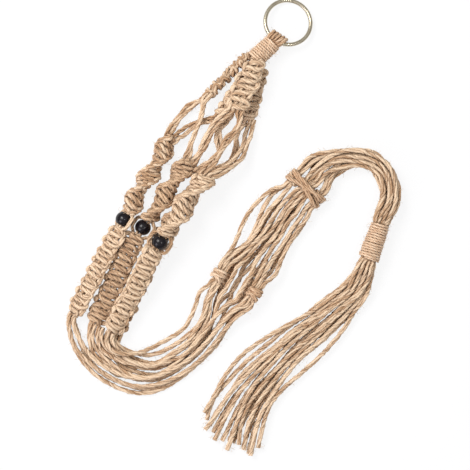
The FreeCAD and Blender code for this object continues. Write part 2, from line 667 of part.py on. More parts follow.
RISE = {
    "top_0": ((-7, -16), (0, -3), (9, 14), (21, 32), (35, 45)),
    "top_1": ((-2, -17), (10, -3), (19, 12), (28, 27), (40, 35)),
    "top_2": ((3, -19), (16, -6), (27, 7), (37, 20), (47, 31)),
    "top_3": ((8, -21), (22, -8), (33, 3), (43, 16), (52, 27)),
    "top_4": ((24, -31), (33, -17), (42, -3), (50, 12), (56, 24)),
    "top_5": ((29, -33), (39, -19), (48, -6), (55, 9), (60, 21)),
    "top_6": ((34, -35), (45, -22), (54, -9), (61, 6), (66, 17)),
    "top_7": ((38, -38), (50, -26), (60, -13), (67, 2), (71, 15)),
    "bottom_0": ((-3, -16), (5, -4), (13, 11), (23, 29), (36, 42)),
    "bottom_1": ((2, -18), (13, -5), (22, 9), (30, 23), (41, 33)),
    "bottom_2": ((7, -21), (19, -8), (29, 5), (38, 19), (47, 31)),
    "bottom_3": ((12, -23), (24, -11), (34, 1), (44, 15), (52, 27)),
    "bottom_4": ((21, -28), (31, -16), (40, -3), (49, 12), (56, 24)),
    "bottom_5": ((26, -31), (36, -19), (46, -6), (54, 8), (60, 21)),
    "bottom_6": ((31, -33), (42, -22), (53, -9), (60, 5), (65, 16)),
    "bottom_7": ((34, -36), (47, -25), (58, -13), (66, 1), (70, 13)),
}
RISE_HEIGHTS = {
    "top_inner": (11.8, 9.0, 8.4, 9.2, 10.6),
    "top_middle": (11.8, 9.2, 8.8, 10.4, 12.4),
    "top_outer": (11.8, 9.0, 8.4, 9.2, 10.6),
    "bottom_inner": (3.6, 2.5, 2.5, 3.6, 5.6),
    "bottom_middle": (3.6, 2.4, 2.3, 2.8, 3.8),
    "bottom_outer": (3.6, 2.5, 2.5, 3.6, 5.6),
}
ARCH = (
    # middle line of the arch: point, heading in degrees, height of the pile above the surface,
    # how far the folding of the flat bundle into a pile has gone
    ((88, 64.5), 38, 0.0, 0.15),
    ((103, 74.5), 26, 0.0, 0.7),
    ((120, 78.5), 1, 0.0, 1.0),
    ((137, 75), -25, 0.0, 1.0),
    ((150, 63.5), -55, 0.5, 1.0),
    ((155.5, 47), -81, 1.6, 1.0),
    ((154, 30), -100, 3.6, 1.0),
)
TASSEL = {
    "top_0": ((132, -62), (121, -80), (109, -98), (95, -116), (80, -133), (63, -147),
              (48, -159), (35, -174), (26.5, -193), (22, -214)),
    "top_1": ((127, -61), (115, -77), (101, -93), (86, -109), (70, -125), (54, -141),
              (40, -158), (27, -176), (19, -197), (15, -221)),
    "top_2": ((122, -60), (109, -75), (95, -90), (79, -105), (63, -120), (48, -136),
              (33, -153), (21, -172), (13, -194), (9, -217)),
    "top_3": ((118, -59), (104, -73), (89, -87), (73, -102), (57, -117), (41, -133),
              (27, -151), (14, -170), (7, -191), (3, -211)),
    "top_4": ((113, -57), (98, -70), (82, -84), (65, -99), (49, -114), (33, -130),
              (18, -148), (6, -168), (-2, -190), (-8, -214)),
    "top_5": ((108, -55), (93, -68), (76, -81), (59, -95), (42, -110), (26, -126),
              (11, -144), (-1, -164), (-11, -185), (-21, -204)),
    "top_6": ((105, -53), (89, -65), (72, -78), (54, -91), (36, -105), (19, -121),
              (4, -139), (-8, -159), (-19, -179), (-29, -193)),
    "top_7": ((101, -51), (85, -63), (67, -76), (49, -87), (29, -99), (11, -114),
              (-4, -131), (-15, -149), (-22, -167), (-29, -179)),
    "bottom_0": ((129, -63), (117, -80), (103, -96), (88, -112), (72, -128), (56, -144),
                 (41, -160), (28, -178), (19, -198), (13, -218)),
    "bottom_1": ((124, -62), (111, -77), (97, -93), (81, -108), (65, -124), (49, -139),
                 (34, -156), (22, -175), (13, -196), (7, -213)),
    "bottom_2": ((119, -60), (106, -75), (91, -90), (75, -105), (59, -120), (43, -136),
                 (29, -153), (16, -172), (7, -193), (0, -210)),
    "bottom_3": ((115, -59), (100, -73), (85, -87), (69, -102), (53, -117), (37, -133),
                 (23, -150), (10, -170), (0, -190), (-6, -208)),
    "bottom_4": ((111, -57), (95, -70), (79, -84), (62, -99), (46, -114), (30, -130),
                 (15, -148), (3, -167), (-8, -187), (-14, -206)),
    "bottom_5": ((106, -55), (90, -68), (73, -81), (56, -95), (40, -110), (23, -126),
                 (9, -144), (-4, -164), (-15, -183), (-21, -199)),
    "bottom_6": ((102, -53), (86, -65), (69, -78), (51, -91), (34, -105), (17, -121),
                 (3, -139), (-10, -159), (-20, -176), (-25, -190)),
    "bottom_7": ((99, -50), (82, -62), (64, -74), (46, -87), (28, -101), (12, -116),
                 (-2, -134), (-14, -153), (-24, -170), (-28, -184)),
}
TASSEL_HEIGHTS = {
    "top_inner": (9.3, 7.4, 6.6, 6.5, 6.5, 6.5, 6.5, 6.5, 6.5, 6.5),
    "top_middle": (12.4, 9.2, 7.0, 6.5, 6.5, 6.5, 6.5, 6.5, 6.5, 6.5),
    "top_outer": (9.3, 7.4, 6.6, 6.5, 6.5, 6.5, 6.5, 6.5, 6.5, 6.5),
    "bottom_inner": (5.2, 3.0, 2.2, 2.2, 2.2, 2.2, 2.2, 2.2, 2.2, 2.2),
    "bottom_middle": (2.2, 2.2, 2.2, 2.2, 2.2, 2.2, 2.2, 2.2, 2.2, 2.2),
    "bottom_outer": (5.2, 3.0, 2.2, 2.2, 2.2, 2.2, 2.2, 2.2, 2.2, 2.2),
}
FAN_MIDDLE = Vector(127.2, -42.3, 0)
FAN_HEADING = heading(247)
LANES = range(8)
GROUP_OF_LANE = ("inner", "inner", "middle", "middle", "middle", "middle", "outer", "outer")


CRADLE_HEADING = heading(60)
GATHER_HEADING = heading(48)
GATHER_MIDDLE = Vector(71, 47, 0)
knot_height = size("knot_thickness") + 2 * size("knot_bar_rise")
lower_layer = knot_height / 2
upper_layer = knot_height * 1.5 + 0.1
between_layers = (upper_layer + lower_layer) / 2
gather_step = left_of(GATHER_HEADING) * 15.5

CRADLE_KNOTS = {
    "cradle_knot_left": Station(Vector(-14, -41, upper_layer), CRADLE_HEADING,
                             size("knot_length"), row_of_four("top", (0, 1, 2, 3))),
    "cradle_knot_right": Station(Vector(17, -57, upper_layer), CRADLE_HEADING,
                              size("knot_length"), row_of_four("top", (4, 5, 6, 7))),
    "cradle_knot_under_left": Station(Vector(-10, -43, lower_layer), CRADLE_HEADING,
                                   size("knot_length"), row_of_four("bottom", (0, 1, 2, 3))),
    "cradle_knot_under_right": Station(Vector(12, -55, lower_layer), CRADLE_HEADING,
                                    size("knot_length"), row_of_four("bottom", (4, 5, 6, 7))),
}
GATHER_KNOTS = {
    "gather_knot_left": Station(GATHER_MIDDLE + gather_step + UP * between_layers, GATHER_HEADING,
                             size("gather_length"), two_by_two((0, 1))),
    "gather_knot_middle": Station(GATHER_MIDDLE + UP * upper_layer, GATHER_HEADING,
                               size("gather_length"), row_of_four("top", (2, 3, 4, 5))),
    "gather_knot_under": Station(GATHER_MIDDLE + UP * lower_layer, GATHER_HEADING,
                              size("gather_length"), row_of_four("bottom", (2, 3, 4, 5))),
    "gather_knot_right": Station(GATHER_MIDDLE - gather_step + UP * between_layers, GATHER_HEADING,
                              size("gather_length"), two_by_two((6, 7))),
}


def station_of(strand, knots):
    """The knot of a row that ties the given strand."""
    for knot in knots.values():
        if strand in knot.strands:
            return knot
    raise KeyError(strand)


def add_block(body, name, across, high, along):
    """Pad of a centred rectangle, its long edges taken off."""
    half_across = "(%s) / 2" % across
    half_high = "(%s) / 2" % high
    corners = (("-" + half_across, "-" + half_high), (half_across, "-" + half_high),
               (half_across, half_high), ("-" + half_across, half_high))
    sketch = add_outline(body, name + "_outline", "YZ_Plane", corners)
    pad = body.newObject("PartDesign::Pad", name)
    pad.Profile = sketch
    pad.Midplane = True
    pad.setExpression("Length", along)
    document.recompute()
    edges = body.newObject("PartDesign::Chamfer", name + "_edges")
    edges.Base = (pad, long_edges(pad, float(sheet.evalExpression(along)),
                                  float(sheet.evalExpression(half_across)),
                                  float(sheet.evalExpression(half_high))))
    edges.setExpression("Size", "Dimensions.knot_border")
    body.Tip = edges
    document.recompute()


def long_edges(pad, length, half_across, half_high):
    """Names of a block's four corner edges that run along the strands."""
    names = []
    for index, edge in enumerate(pad.Shape.Edges, start=1):
        middle = edge.BoundBox.Center
        at_corner = abs(abs(middle.y) - half_across) < 1e-4 and abs(abs(middle.z) - half_high) < 1e-4
        if at_corner and abs(edge.Length - length) < 1e-4:
            names.append("Edge%d" % index)
    return names


def make_cradle_knot(label, knot, in_one_row, length_alias):
    """A cradle knot: a rounded body the strands run into, with a bar crossing it."""
    strands_across = "3 * Dimensions.lane_pitch" if in_one_row else "Dimensions.lane_pitch"
    across = strands_across + " + Dimensions.cord_diameter + 2 * Dimensions.knot_border"
    high = "Dimensions.knot_thickness"
    if not in_one_row:
        high = "2 * Dimensions.lane_pitch + 2 * Dimensions.knot_border"
    body = document.addObject("PartDesign::Body", label)
    add_block(body, label + "_body", across, high, "Dimensions." + length_alias)
    add_block(body, label + "_bar", across + " + Dimensions.knot_border",
              high + " + 2 * Dimensions.knot_bar_rise", "Dimensions.knot_bar")
    turn = Rotation(knot.along, knot.left, UP, "ZXY")
    body.Placement = Placement(SHEET_SHIFT + knot.middle, turn)
    keep(body, label)


def heights(table, layer, lane):
    """Heights of a lane's points, from its own row or its group's."""
    own = "%s_%d" % (layer, lane)
    return table.get(own) or table["%s_%s" % (layer, GROUP_OF_LANE[lane])]


def raised(plan, levels):
    """Points of a plan route at their heights."""
    return [Vector(x, y, z) for (x, y), z in zip(plan, levels)]


def pile_place(layer, lane):
    """Across and above, for a lane in the pile of four rows that the arch runs in."""
    pitch = size("lane_pitch")
    rise = pitch * size("pile_rise")
    middle_lane = GROUP_OF_LANE[lane] == "middle"
    row = {("bottom", True): 0, ("bottom", False): 1, ("top", False): 2, ("top", True): 3}[(layer, middle_lane)]
    order = (lane - 2) if middle_lane else (lane if lane < 2 else lane - 4)
    shift = pitch / 4 if row % 2 == 0 else -pitch / 4
    return (1.5 - order) * pitch + shift, size("cord_diameter") / 2 + 0.2 + row * rise


def flat_place(layer, lane):
    """Across and above, for a lane as it leaves the gathering knots."""
    strand = "%s_%d" % (layer, lane)
    knot = station_of(strand, GATHER_KNOTS)
    offset = knot.place(strand, 0) - GATHER_MIDDLE
    return offset.dot(knot.left), offset.z


def arch_points(layer, lane):
    """A lane's points over the arch, folding from the flat bundle into the pile."""
    flat = flat_place(layer, lane)
    pile = pile_place(layer, lane)
    points = []
    for (x, y), degrees, lift, fold in ARCH:
        across = flat[0] * (1 - fold) + pile[0] * fold
        above = flat[1] * (1 - fold) + pile[1] * fold + lift
        points.append(Vector(x, y, above) + left_of(heading(degrees)) * across)
    return points


pile_middle = size("cord_diameter") / 2 + 0.2 + 1.5 * size("lane_pitch") * size("pile_rise")


def mouth_point(layer, lane, distance):
    """Point on a lane at a distance along the lower wrap from its first turn."""
    across, above = pile_place(layer, lane)
    line = LOWER_WRAP_START + LOWER_WRAP_HEADING * distance
    return line + left_of(LOWER_WRAP_HEADING) * across + UP * (above - pile_middle)


def make_strand(layer, lane):
    """One of the sixteen strands, from its leg's end to its cut end in the tassel."""
    strand = "%s_%d" % (layer, lane)
    cradle = station_of(strand, CRADLE_KNOTS)
    gather = station_of(strand, GATHER_KNOTS)
    lead = size("lead_in")
    flare = size("flare_length")
    cradle_half = cradle.length / 2
    gather_half = gather.length / 2
    leg_end = station_of(strand, LEG_ENDS)
    bend = [leg_end.place(strand, 0), leg_end.place(strand, size("leg_lead"))]
    bend += raised(BEND[strand], heights(BEND_HEIGHTS, layer, lane))
    bend += [cradle.place(strand, -cradle_half - lead), cradle.place(strand, -cradle_half)]
    rise = [cradle.place(strand, cradle_half), cradle.place(strand, cradle_half + lead)]
    rise += raised(RISE[strand], heights(RISE_HEIGHTS, layer, lane))
    rise += [gather.place(strand, -gather_half - lead), gather.place(strand, -gather_half)]
    arch = [gather.place(strand, gather_half), gather.place(strand, gather_half + lead)]
    arch += arch_points(layer, lane)
    arch += [mouth_point(layer, lane, -flare - lead), mouth_point(layer, lane, -flare)]
    end = lower_wrap_length + flare
    tassel = [mouth_point(layer, lane, end), mouth_point(layer, lane, end + lead)]
    across, above = pile_place(layer, lane)
    tassel.append(FAN_MIDDLE + left_of(FAN_HEADING) * (across * size("fan_spread")) + UP * above)
    tassel += raised(TASSEL[strand], heights(TASSEL_HEIGHTS, layer, lane))
    keep_cords("strand_%s" % strand, [bend, rise, arch, tassel])


# ---------------------------------------------------------------- build
make_ring()
make_eye()
make_core("upper_wrap_strands", UPPER_WRAP_START, WRAP_HEADING, "upper_core_diameter",
          "upper_flare_diameter", "upper_wrap_turns", False)
make_wrap("upper_wrap", UPPER_WRAP_START, WRAP_HEADING, "upper_core_diameter", "upper_wrap_turns")
for sennit_label, (sennit_start, sennit_end, sennit_roll) in TOP_SENNITS.items():
    make_flat_sennit(sennit_label, sennit_start, sennit_end, sennit_roll,
                     (size("sennit_neck"), row_neck()))
for pair_label, pair in NET.items():
    make_net_pair(pair_label, *pair)
for leg, (spiral_start, spiral_end, flat_end, flat_roll) in LEGS.items():
    end_neck = row_neck() if leg in (2, 4) else size("sennit_neck")
    make_spiral_sennit("leg_%d_spiral" % leg, spiral_start, spiral_end)
    make_bead(leg)
    make_bead_cords(leg)
    make_flat_sennit("leg_%d_flat" % leg, flat_start(leg), flat_end, flat_roll,
                     (size("bead_neck"), end_neck))
for knot_label, cradle_knot in CRADLE_KNOTS.items():
    make_cradle_knot(knot_label, cradle_knot, True, "knot_length")
for knot_label, gather_knot in GATHER_KNOTS.items():
    in_row = knot_label in ("gather_knot_middle", "gather_knot_under")
    make_cradle_knot(knot_label, gather_knot, in_row, "gather_length")
for strand_layer in ("top", "bottom"):
    for strand_lane in LANES:
        make_strand(strand_layer, strand_lane)
make_core("lower_wrap_strands", LOWER_WRAP_START, LOWER_WRAP_HEADING, "lower_core_diameter",
          "lower_flare_diameter", "lower_wrap_turns", True)
make_wrap("lower_wrap", LOWER_WRAP_START, LOWER_WRAP_HEADING, "lower_core_diameter", "lower_wrap_turns")

# ---------------------------------------------------------------- check and write
document.recompute()
for feature in document.Objects:
    if "Invalid" in feature.State or "Error" in feature.State:
        raise RuntimeError("%s failed: %s" % (feature.Name, feature.State))
for feature in parts:
    if feature.Shape.isNull() or not feature.Shape.isValid():
        raise RuntimeError("%s has no valid shape" % feature.Label)

os.makedirs("parts", exist_ok=True)
whole = FreeCAD.BoundBox()
for feature in parts:
    feature.Shape.exportStep(os.path.join("parts", feature.Label + ".step"))
    whole.add(feature.Shape.BoundBox)
for label, radius in smallest_radius.items():
    print("%s: tightest bend %.1f mm" % (label, radius))
print("%d parts, box %s" % (len(parts), whole))
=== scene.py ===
import logging
import math
from dataclasses import dataclass
from enum import Enum, StrEnum
from typing import Any

import bmesh
import bpy
import numpy as np
from mathutils import Matrix, Vector


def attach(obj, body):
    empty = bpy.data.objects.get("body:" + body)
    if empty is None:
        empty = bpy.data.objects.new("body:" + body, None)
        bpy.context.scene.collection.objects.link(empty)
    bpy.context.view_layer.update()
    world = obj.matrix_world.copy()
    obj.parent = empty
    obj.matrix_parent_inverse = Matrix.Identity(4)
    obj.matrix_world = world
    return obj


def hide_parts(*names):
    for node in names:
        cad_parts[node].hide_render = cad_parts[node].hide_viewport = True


log = logging.getLogger("planter")
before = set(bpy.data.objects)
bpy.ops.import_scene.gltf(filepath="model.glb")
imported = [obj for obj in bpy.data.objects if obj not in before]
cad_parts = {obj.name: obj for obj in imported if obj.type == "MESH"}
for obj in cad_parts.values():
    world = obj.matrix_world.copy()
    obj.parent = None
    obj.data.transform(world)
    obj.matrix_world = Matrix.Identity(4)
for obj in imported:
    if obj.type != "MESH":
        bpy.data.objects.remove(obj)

# lengths below are in millimetres unless they say metres; the layout's origin is the middle of the view
MM = 0.001
SHEET_SHIFT = np.array((2.02, -8.1, 0.0))
UP = np.array((0.0, 0.0, 1.0))
PLANTER = "planter"
CORD = 4.0
TWINE = 2.7
# spacing of the points on long strands and on short cords
ROUTE_STEP = 1.25
FINE_STEP = 0.9

Colour = tuple[float, float, float]


class Slot(Enum):
    """The record's material slots."""

    JUTE = "jute_cord"
    TWINE = "twine"
    METAL = "ring_brass"
    WOOD = "bead_wood"


class Layer(StrEnum):
    """The two layers in which the long strands lie."""

    TOP = "top"
    BOTTOM = "bottom"


class FarEnd(Enum):
    """What is on the far end of a free cord."""

    BARE = "bare"
    OBJECT = "object"


# ---- nodes
class Value:
    """A node's output socket on which Python's operators add Math nodes."""

    def __init__(self, graph: "Graph", socket: bpy.types.NodeSocket) -> None:
        """Wrap a socket of a graph."""
        self.graph = graph
        self.socket = socket

    def maths(self, operation: str, *others: Any) -> "Value":
        """Apply a Math node to the value and to other values or numbers."""
        return self.graph.node("ShaderNodeMath", {"operation": operation}, [self, *others])

    def __add__(self, other: Any) -> "Value":
        """Sum."""
        return self.maths("ADD", other)

    def __sub__(self, other: Any) -> "Value":
        """Difference."""
        return self.maths("SUBTRACT", other)

    def __rsub__(self, other: Any) -> "Value":
        """Difference, reflected."""
        return self.graph.node("ShaderNodeMath", {"operation": "SUBTRACT"}, [other, self])

    def __mul__(self, other: Any) -> "Value":
        """Product."""
        return self.maths("MULTIPLY", other)

    def __truediv__(self, other: Any) -> "Value":
        """Quotient."""
        return self.maths("DIVIDE", other)

    def __pow__(self, other: Any) -> "Value":
        """Power."""
        return self.maths("POWER", other)

    __radd__ = __add__
    __rmul__ = __mul__

    def clamped(self) -> "Value":
        """The value kept between 0 and 1."""
        return self.graph.node("ShaderNodeClamp", {}, [self])


class Graph:
    """A node tree with one method that adds any node."""

    def __init__(self, tree: bpy.types.NodeTree) -> None:
        """Take an empty tree."""
        self.tree = tree

    def node(self, kind: str, settings: dict[str, Any], inputs: Any = (), out: Any = 0) -> Value:
        """Add a node.

        Args:
            kind: the node's type.
            settings: its properties, set before its sockets.
            inputs: values or links, in order or by socket name.
            out: the output to return, by index or name.

        Returns:
            The chosen output, wrapped.
        """
        made = self.tree.nodes.new(kind)
        for key, value in settings.items():
            setattr(made, key, value)
        named = inputs.items() if isinstance(inputs, dict) else enumerate(inputs)
        for key, value in named:
            self.connect(made, key, value)
        outputs = [socket for socket in made.outputs if socket.enabled]
        if isinstance(out, int):
            return Value(self, outputs[out]) if outputs else Value(self, None)
        return Value(self, next(socket for socket in outputs if socket.name == out))

    def connect(self, node: bpy.types.Node, key: Any, value: Any) -> None:
        """Set or link one input of a node.

        Args:
            node: the node.
            key: the input's index among the enabled ones, or its name.
            value: a wrapped output, or a plain value.
        """
        sockets = [socket for socket in node.inputs if socket.enabled]
        socket = sockets[key] if isinstance(key, int) else next(s for s in sockets if s.name == key)
        if isinstance(value, Value):
            self.tree.links.new(value.socket, socket)
        else:
            socket.default_value = value

    def mix(self, factor: Any, first: Any, second: Any) -> Value:
        """Mix two colours."""
        colours = [(*colour, 1.0) if isinstance(colour, tuple) else colour for colour in (first, second)]
        return self.node("ShaderNodeMix", {"data_type": "RGBA"}, [factor, *colours])

    def vector(self, x: Any, y: Any, z: Any) -> Value:
        """Join three numbers."""
        return self.node("ShaderNodeCombineXYZ", {}, [x, y, z])

    def noise(self, place: Value, detail: float = 2.0, scale: float = 1.0, **sockets: float) -> Value:
        """Soft noise at a place, with its other sockets by name."""
        return self.node("ShaderNodeTexNoise", {}, {
            "Vector": place, "Scale": scale, "Detail": detail, **sockets})


def linear(display: Colour) -> Colour:
    """Linear colour of a display colour.

    Args:
        display: red, green and blue from 0 to 255.

    Returns:
        Red, green and blue from 0 to 1.
    """
    def channel(value: float) -> float:
        """One channel."""
        share = value / 255
        return share / 12.92 if share <= 0.04045 else ((share + 0.055) / 1.055) ** 2.4

    return tuple(map(channel, display))


# ---- finishes
@dataclass(frozen=True)
class Finish:
    """A finish, which each kind paints in its own way."""

    name: str

    def build(self) -> bpy.types.Material:
        """Make the material.

        Returns:
            The material.
        """
        material = bpy.data.materials.new(self.name)
        material.use_nodes = True
        material.node_tree.nodes.clear()
        graph = Graph(material.node_tree)
        graph.node("ShaderNodeOutputMaterial", {}, {"Surface": self.paint(graph)})
        return material

    def paint(self, graph: Graph) -> Value:
        """Add the finish's own nodes and return its shader."""
        raise NotImplementedError


@dataclass(frozen=True)
class JuteFinish(Finish):
    """Softly spun jute, streaked along the fibre, with painted shade where cords press together and in
    the furrows between plies.

    Streaks, hairs and patches are how often each changes in a metre of cord. A contrast is how much
    a thing changes the tone. The shade strengths are how much painted shade darkens the cord where
    cords press together and in the furrows under a share of the radius; the dark depth is how much
    darker fibres make it in streaks under a value of the noise. Both darken towards the shade and
    streak colour.
    """

    pale: Colour
    straw: Colour
    # colour of the painted shade between cords and in furrows, and of the real dark streaks
    shade_streak_colour: Colour
    streaks: float = 150.0
    hairs: float = 300.0
    patches: float = 45.0
    streak_contrast: float = 3.0
    hair_contrast: float = 2.4
    patch_contrast: float = 1.6
    ply_contrast: float = 1.5
    tone_contrast: float = 0.5
    lightness: float = 0.56
    crowd_shade_strength: float = 0.56
    furrow_below: float = 0.82
    furrow_shade_strength: float = 1.9
    dark_below: float = 0.44
    dark_depth: float = 3.2
    bump: float = 0.00022

    def paint(self, graph: Graph) -> Value:
        """Shader that reads what the rope keeps: section, along, crown, ply, tone and crowd.

        Args:
            graph: the material's graph.

        Returns:
            The shader.
        """
        section = graph.node("ShaderNodeAttribute", {"attribute_name": "section"}, out="Vector")
        along, crown, ply, crowd, tone = (
            graph.node("ShaderNodeAttribute", {"attribute_name": name}, out="Fac")
            for name in ("along", "crown", "ply", "crowd", "tone"))
        flank, side = (graph.node("ShaderNodeSeparateXYZ", {}, [section], out=axis) for axis in "XY")

        def cloud(across: float, apart: float, lengthwise: float, detail: float) -> Value:
            """Noise that changes so often across and along the cord, set apart from cord to cord."""
            place = graph.vector(flank * across + tone * apart, side * across, along * lengthwise)
            return graph.noise(place, detail, Roughness=0.6)

        fibre = cloud(3.4, 31, self.streaks, 3.0)
        hair = cloud(9, 71, self.hairs, 2.0)
        patch = cloud(0.5, 53, self.patches, 2.0)
        light = ((fibre - 0.5) * self.streak_contrast + (patch - 0.5) * self.patch_contrast
                 + (hair - 0.5) * self.hair_contrast + (tone - 0.5) * self.tone_contrast
                 + (ply - 0.5) * self.ply_contrast + self.lightness)
        body = graph.mix(light.clamped(), linear(self.straw), linear(self.pale))
        # painted shade in the furrows between plies, below the crown
        furrow_shade = (self.furrow_below - crown).maths("MAXIMUM", 0.0) * self.furrow_shade_strength
        dark_streak = (self.dark_below - fibre).maths("MAXIMUM", 0.0) * self.dark_depth
        # painted shade where other cords press close and in the furrows, with real darker streaks of fibre
        # added
        depth = crowd * (self.crowd_shade_strength + fibre * 0.5) + furrow_shade + dark_streak
        relief = fibre * 0.55 + hair * 0.3 + patch * 0.15
        normal = graph.node("ShaderNodeBump", {}, {"Strength": 0.9, "Distance": self.bump, "Height": relief})
        return graph.node("ShaderNodeBsdfPrincipled", {}, {
            "Base Color": graph.mix(depth.clamped(), body, linear(self.shade_streak_colour)),
            "Roughness": 0.7 + crowd * 0.2, "Normal": normal, "Specular IOR Level": 0.2,
            "Sheen Weight": 0.15, "Sheen Roughness": 0.6, "Sheen Tint": (1.0, 0.92, 0.82, 1.0)})


@dataclass(frozen=True)
class FibreFinish(Finish):
    """Loose hairs that stand off the cord."""

    pale: Colour
    dark: Colour
    contrast: float = 2.4

    def paint(self, graph: Graph) -> Value:
        """Shader of the fibres, which change in shade from one to the next.

        Args:
            graph: the material's graph.

        Returns:
            The shader.
        """
        place = graph.node("ShaderNodeTexCoord", {}, out="Object")
        light = (graph.noise(place, 1.0, 700.0) - 0.5) * self.contrast + 0.5
        return graph.node("ShaderNodeBsdfPrincipled", {}, {
            "Base Color": graph.mix(light.clamped(), linear(self.dark), linear(self.pale)),
            "Roughness": 0.6, "Specular IOR Level": 0.3})


@dataclass(frozen=True)
class WoodFinish(Finish):
    """Dark stained wood under a gloss varnish, its grain round the bead's hole."""

    dark: Colour
    warm: Colour
    warm_above: float = 0.45
    contrast: float = 3.0

    def paint(self, graph: Graph) -> Value:
        """Shader of the stained grain.

        Args:
            graph: the material's graph.

        Returns:
            The shader.
        """
        place = graph.node("ShaderNodeTexCoord", {}, out="Object")
        squeezed = graph.node("ShaderNodeMapping", {}, {
            "Vector": place, "Scale": (260.0, 900.0, 500.0), "Rotation": (0.3, 0.2, 0.55)})
        grain = graph.noise(squeezed, 4.0, Distortion=0.6)
        pores = graph.noise(squeezed, 2.0, 4.0)
        streak = ((grain - self.warm_above) * self.contrast).clamped()
        normal = graph.node("ShaderNodeBump", {}, {
            "Strength": 0.35, "Distance": 0.00012, "Height": grain * 0.6 + pores * 0.4})
        return graph.node("ShaderNodeBsdfPrincipled", {}, {
            "Base Color": graph.mix(streak, linear(self.dark), linear(self.warm)),
            "Roughness": 0.2 + pores * 0.12, "Normal": normal, "Specular IOR Level": 0.3,
            "Coat Weight": 0.12, "Coat Roughness": 0.06})


@dataclass(frozen=True)
class MetalFinish(Finish):
    """Plated steel wire, softly brushed by handling."""

    bright: Colour
    dull: Colour
    dull_above: float = 0.4
    contrast: float = 2.0

    def paint(self, graph: Graph) -> Value:
        """Shader of the brushed metal.

        Args:
            graph: the material's graph.

        Returns:
            The shader.
        """
        place = graph.node("ShaderNodeTexCoord", {}, out="Object")
        worn = graph.noise(place, 3.0, 160.0)
        brushed = graph.node("ShaderNodeMapping", {}, {"Vector": place, "Scale": (2600.0, 700.0, 1500.0)})
        scratch = graph.noise(brushed)
        wear = ((worn - self.dull_above) * self.contrast).clamped()
        normal = graph.node("ShaderNodeBump", {}, {"Strength": 0.2, "Distance": 0.00004, "Height": scratch})
        return graph.node("ShaderNodeBsdfPrincipled", {}, {
            "Base Color": graph.mix(wear, linear(self.bright), linear(self.dull)), "Metallic": 1.0,
            "Roughness": 0.2 + worn * 0.14 + scratch * 0.05, "Normal": normal})


@dataclass(frozen=True)
class FloorFinish(Finish):
    """White paper sweep, which looks whiter to the camera and keeps a soft shadow."""

    colour: Colour = (0.92, 0.92, 0.95)
    whitening: float = 0.86

    def paint(self, graph: Graph) -> Value:
        """Shader that is plain paper to the light and white to the camera and to reflections.

        Args:
            graph: the material's graph.

        Returns:
            The shader.
        """
        seen = graph.node("ShaderNodeLightPath", {}, out="Is Camera Ray")
        mirrored = graph.node("ShaderNodeLightPath", {}, out="Is Glossy Ray")
        paper = graph.node("ShaderNodeBsdfDiffuse", {}, {"Color": (*self.colour, 1.0)})
        white = graph.node("ShaderNodeEmission", {}, {"Color": (1.0, 1.0, 1.0, 1.0), "Strength": 1.0})
        share = ((seen + mirrored) * self.whitening).clamped()
        return graph.node("ShaderNodeMixShader", {}, [share, paper, white])


# ---- vectors and lines, in millimetres
def vector(*numbers: float) -> np.ndarray:
    """A vector of plain numbers."""
    return np.array(numbers, dtype=float)


def unit(direction: np.ndarray) -> np.ndarray:
    """Unit vector."""
    return direction / np.linalg.norm(direction)


def heading(degrees: float) -> np.ndarray:
    """Unit vector in plan, counted from +X towards +Y."""
    return vector(math.cos(math.radians(degrees)), math.sin(math.radians(degrees)), 0.0)


def left_of(direction: np.ndarray) -> np.ndarray:
    """Horizontal unit vector to the left of a direction of travel."""
    return unit(np.cross(UP, direction))


def metres(points: Any) -> np.ndarray:
    """Points of the layout, in millimetres, as points of the model in metres."""
    return (np.asarray(points, dtype=float) + SHEET_SHIFT) * MM


def evenly(line: np.ndarray, step: float) -> np.ndarray:
    """Points along a line at an even spacing.

    Args:
        line: points, n by 3.
        step: spacing, in the line's unit.

    Returns:
        The new points, with both ends kept.
    """
    lengths = np.linalg.norm(np.diff(line, axis=0), axis=1)
    total = np.concatenate(([0.0], np.cumsum(lengths)))
    count = max(3, int(round(total[-1] / step)) + 1)
    wanted = np.linspace(0.0, total[-1], count)
    return np.stack([np.interp(wanted, total, line[:, axis]) for axis in range(3)], axis=1)


def smooth_route(corners: list[np.ndarray], step: float = ROUTE_STEP) -> np.ndarray:
    """Smooth line whose control points are a route's corners.

    Args:
        corners: the route's points in the layout, in millimetres.
        step: spacing of the points returned, in millimetres.

    Returns:
        Points of the model, in metres.
    """
    curve = bpy.data.curves.new("route", "CURVE")
    curve.dimensions = "3D"
    spline = curve.splines.new("NURBS")
    places = metres(corners)
    spline.points.add(len(places) - 1)
    for point, place in zip(spline.points, places):
        point.co = (*place, 1.0)
    spline.order_u = 3
    spline.use_endpoint_u = True
    spline.resolution_u = 12
    holder = bpy.data.objects.new("route", curve)
    mesh = bpy.data.meshes.new_from_object(holder)
    line = np.array([vertex.co[:] for vertex in mesh.vertices])
    bpy.data.objects.remove(holder)
    bpy.data.curves.remove(curve)
    bpy.data.meshes.remove(mesh)
    return evenly(line, step * MM)


@dataclass
class Stand:
    """A place with its own directions: left, rise and along."""

    origin: np.ndarray
    along: np.ndarray
    roll: float = 0.0

    def __post_init__(self) -> None:
        """Work out the directions."""
        self.along = unit(np.asarray(self.along, dtype=float))
        flat_left = left_of(self.along)
        upright = np.cross(self.along, flat_left)
        turn = math.radians(self.roll)
        self.left = flat_left * math.cos(turn) + upright * math.sin(turn)
        self.rise = upright * math.cos(turn) - flat_left * math.sin(turn)

    def at(self, across: Any, along: Any, above: Any) -> np.ndarray:
        """Points given across, along and above."""
        across, along, above = np.broadcast_arrays(across, along, above)
        return (self.origin + np.multiply.outer(across, self.left) + np.multiply.outer(along, self.along)
                + np.multiply.outer(above, self.rise))


